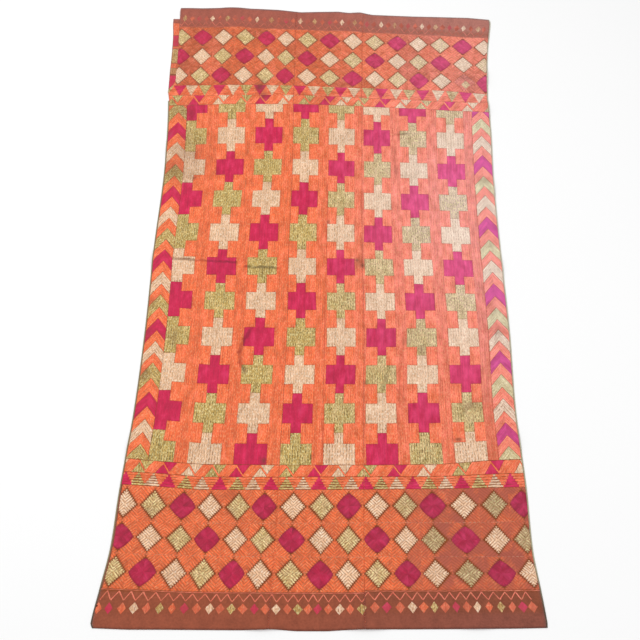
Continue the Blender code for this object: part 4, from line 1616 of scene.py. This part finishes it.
pleat_colours = ("orange", "magenta", "green")
pleat_works = {colour: Work("pleat_" + colour, colour) for colour in pleat_colours}
for block in PLEAT_BLOCKS:
    rows, darning = cells(block.far - block.near, PLEAT_CELL), Darning(age=block.age)
    pleat_works[block.colour].rectangle(
        PLEAT_LEFT, PLEAT_RIGHT, block.near, block.far, PLEAT_COLUMNS, rows, darning
    )
for work in pleat_works.values():
    work.raise_regions(PLEAT_GAP, merged=False)
    work.lay(on_pleat=True)

# ---------------------------------------------------------------- edgings
# Each selvedge is overcast with thick grey-green cotton: slanting stitches lie side by side
# over it as a narrow rounded cord. The left one stops where the cloth is pleated back.

OVERCAST_PITCH = 0.0042
OVERCAST_CELLS = 4  # of mesh to a stitch
ROUND_SIDES = 6
FLAT_SIDES = 2
EDGING_HEIGHT = 0.0019
EDGING_END = 1.927
EDGING_GIRTH = EDGING_WIDTH * 2.2
OVERCAST_LEAN = 1.1  # in stitches, from one side of the cord to the other
MAP_COLUMNS = 8  # its long map is folded into this many columns
COTTON = colour_of(150, 134, 102)
COTTON_RIGHT = colour_of(176, 168, 134)
COTTON_FADED = colour_of(214, 210, 194)
# Painted shade between the overcast stitches.
COTTON_SHADED = colour_of(106, 94, 72)
COTTON_SOILED = colour_of(88, 72, 60)


def overcast_cotton():
    cotton = Finish("edging_cotton", Roughness=0.88, Sheen_Weight=0.2, Specular_IOR_Level=0.2)
    round_cord, along = cotton.uv("stitch")
    stitch = along / (OVERCAST_PITCH * 100) + round_cord * 0.9
    ridge = stitch.to_whole() * 2
    uneven = cotton.noise(stitch.floor() * 4.7, round_cord * 2)
    fade = cotton.attribute("fade")
    near = cotton.mix((fade * 6).at_most(1.0), COTTON, COTTON_RIGHT)
    washed = cotton.mix(fade, near, COTTON_FADED)
    soiled = cotton.mix(along.rise(22.0, 4.0), washed, COTTON_SOILED)
    # Painted shade where the cord dips between its stitches.
    darkened_between_stitches = cotton.mix(ridge.rise(0.45, 0.0) * 0.7, soiled, COTTON_SHADED)
    cotton.drive("Base Color", cotton.shade(darkened_between_stitches, 0.72 + 0.56 * uneven))
    cotton.drive("Normal", cotton.bump(ridge + uneven, 0.6))
    return cotton


EDGING_COTTON = overcast_cotton()


def fold_map(mesh):
    """Folds a long thin piece's bake map into columns beside each other."""
    layer = mesh.uv_layers["OFBake"]
    flat = np.empty(len(mesh.loops) * 2, np.float32)
    layer.data.foreach_get("uv", flat)
    faces = flat.reshape(-1, 4, 2)
    column = np.minimum(np.floor(faces[:, :, 1].mean(1) * MAP_COLUMNS), MAP_COLUMNS - 1)[:, None]
    room = 1 - 2 * BAKE_MARGIN
    across = (column + BAKE_MARGIN + room * faces[:, :, 0]) / MAP_COLUMNS
    up = BAKE_MARGIN + room * (faces[:, :, 1] * MAP_COLUMNS - column)
    layer.data.foreach_set("uv", np.stack([across, up], 2).astype(np.float32).ravel())


def lay_edging(name, node, side, last):
    """The overcast cord along one selvedge, from the near end to last."""
    sides, rows = ROUND_SIDES + FLAT_SIDES, round(last / OVERCAST_PITCH * OVERCAST_CELLS)
    mesh = grid_mesh(name, sides, rows)
    unit = flat_points(mesh)
    share, along = unit[:, 0], last * unit[:, 1]
    over = np.clip(share * sides / ROUND_SIDES, 0, 1) * math.pi
    back = np.clip((share * sides - ROUND_SIDES) / FLAT_SIDES, 0, 1)
    middle_out = np.cos(over) * (1 - back) + back * (2 * back - 1)
    ridge = np.abs(np.sin(math.pi * (along / OVERCAST_PITCH + share * OVERCAST_LEAN)))
    height = EDGING_HEIGHT * np.sin(over) ** 0.7 * (0.84 + 0.16 * ridge)
    x = outline(side, along) - side * EDGING_WIDTH / 2 * (1 - middle_out)
    placed = lay_down(x, along, np.where(back > 0, 0.0, height))
    set_points(mesh, np.stack([share * EDGING_GIRTH * -side, along, np.zeros_like(x)], 1))
    piece = make_piece(name, mesh, placed, EDGING_COTTON)
    fold_map(mesh)
    bm = bmesh.new()
    bm.from_mesh(mesh)
    bmesh.ops.remove_doubles(bm, verts=bm.verts, dist=TOUCHING / 2)
    bmesh.ops.holes_fill(bm, edges=[edge for edge in bm.edges if edge.is_boundary], sides=0)
    bmesh.ops.recalc_face_normals(bm, faces=bm.faces)
    bm.to_mesh(mesh)
    bm.free()
    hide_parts(node)
    return piece


edging_left = lay_edging("edging_left", "left_edging", -1, EDGING_END)
edging_right = lay_edging("edging_right", "right_edging", 1, LENGTH)

# ---------------------------------------------------------------- seams
# The loom widths are whipped together with small slanting stitches, which show on the face as
# thin dashes over each seam.

SEAM_PITCH = 0.008
SEAM_STITCH = 0.0064
SEAM_THREAD = 0.0016
SEAM_SLANT = 0.0016
SEAM_LIFT = 1.7  # in floss heights
SEAM_SHAKE = 0.001
SEAM_ANGLE, SEAM_TONES = 0.25, (0.2, 0.6)
SEAM_AGES = ((0.118, 0.95), (0.42, 0.05), (LENGTH, 0.5))  # up to where, and how dull they are

seam_stitches = Work("seam_stitches", "orange")
for seam in (LEFT_SEAM_X, RIGHT_SEAM_X):
    for number in range(round(LENGTH / SEAM_PITCH) - 1):
        start = (number + 0.5) * SEAM_PITCH + chance.uniform(-SEAM_SHAKE, SEAM_SHAKE)
        low, high = seam - SEAM_SLANT / 2, seam + SEAM_SLANT / 2
        half, end = SEAM_THREAD / 2, start + SEAM_STITCH
        corners = [(low - half, start), (low + half, start), (high + half, end), (high - half, end)]
        age = next(age for reach, age in SEAM_AGES if start < reach)
        darning = Darning(SEAM_ANGLE, chance.uniform(*SEAM_TONES), age)
        seam_stitches.four_sided(corners, 1, 2, darning)
seam_stitches.raise_regions(0.0, THREAD_SLOPE, merged=False)
seam_stitches.thicken(SEAM_LIFT)
seam_stitches.lay()

# ---------------------------------------------------------------- floor, light and camera
# A plain pale floor under soft even light, seen from above the near end.

CAMERA_PLACE = (0.0174, -1.2458, 2.5171)
CAMERA_TURN = (22.601, 0.288, 0.817)  # degrees
SENSOR_WIDTH = 36.0  # millimetres, as the lens
LENS = 43.99
FLOOR_HALF = 9.0
FLOOR_UNDER = 0.0004
FLOOR_COLOUR = (0.93, 0.93, 0.93, 1)
SKY_STRENGTH = 0.80

floor = in_scene("floor", grid_mesh("floor", 2, 2, FLOOR_HALF, (0, 0, -FLOOR_UNDER)))
pale = Finish("pale_floor", Base_Color=FLOOR_COLOUR, Roughness=0.9, Specular_IOR_Level=0.1)
floor.data.materials.append(pale.material)
floor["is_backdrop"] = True

world = bpy.data.worlds.new("studio")
bpy.context.scene.world = world
world.use_nodes = True
sky = world.node_tree.nodes["Background"].inputs
sky["Color"].default_value, sky["Strength"].default_value = (1, 1, 1, 1), SKY_STRENGTH

Lamp = namedtuple("Lamp", "name place size power")
LAMPS = (
    Lamp("overhead", (-1.6, 0.9, 3.4), 2.6, 46.0),
    Lamp("from_right", (2.2, -1.2, 3.2), 2.4, 15.0),
)
for lamp in LAMPS:
    light = bpy.data.lights.new(lamp.name, "AREA")
    light.shape, light.size, light.energy = "SQUARE", lamp.size, lamp.power
    holder = in_scene(lamp.name, light)
    holder.location = lamp.place
    holder.rotation_euler = (-Vector(lamp.place)).to_track_quat("-Z", "Y").to_euler()

camera_data = bpy.data.cameras.new("camera")
camera_data.lens, camera_data.sensor_width = LENS, SENSOR_WIDTH
camera = in_scene("camera", camera_data)
camera.location = CAMERA_PLACE
camera.rotation_euler = [math.radians(turn) for turn in CAMERA_TURN]
bpy.context.scene.camera = camera
bpy.context.scene.view_settings.view_transform = "Standard"

low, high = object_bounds()
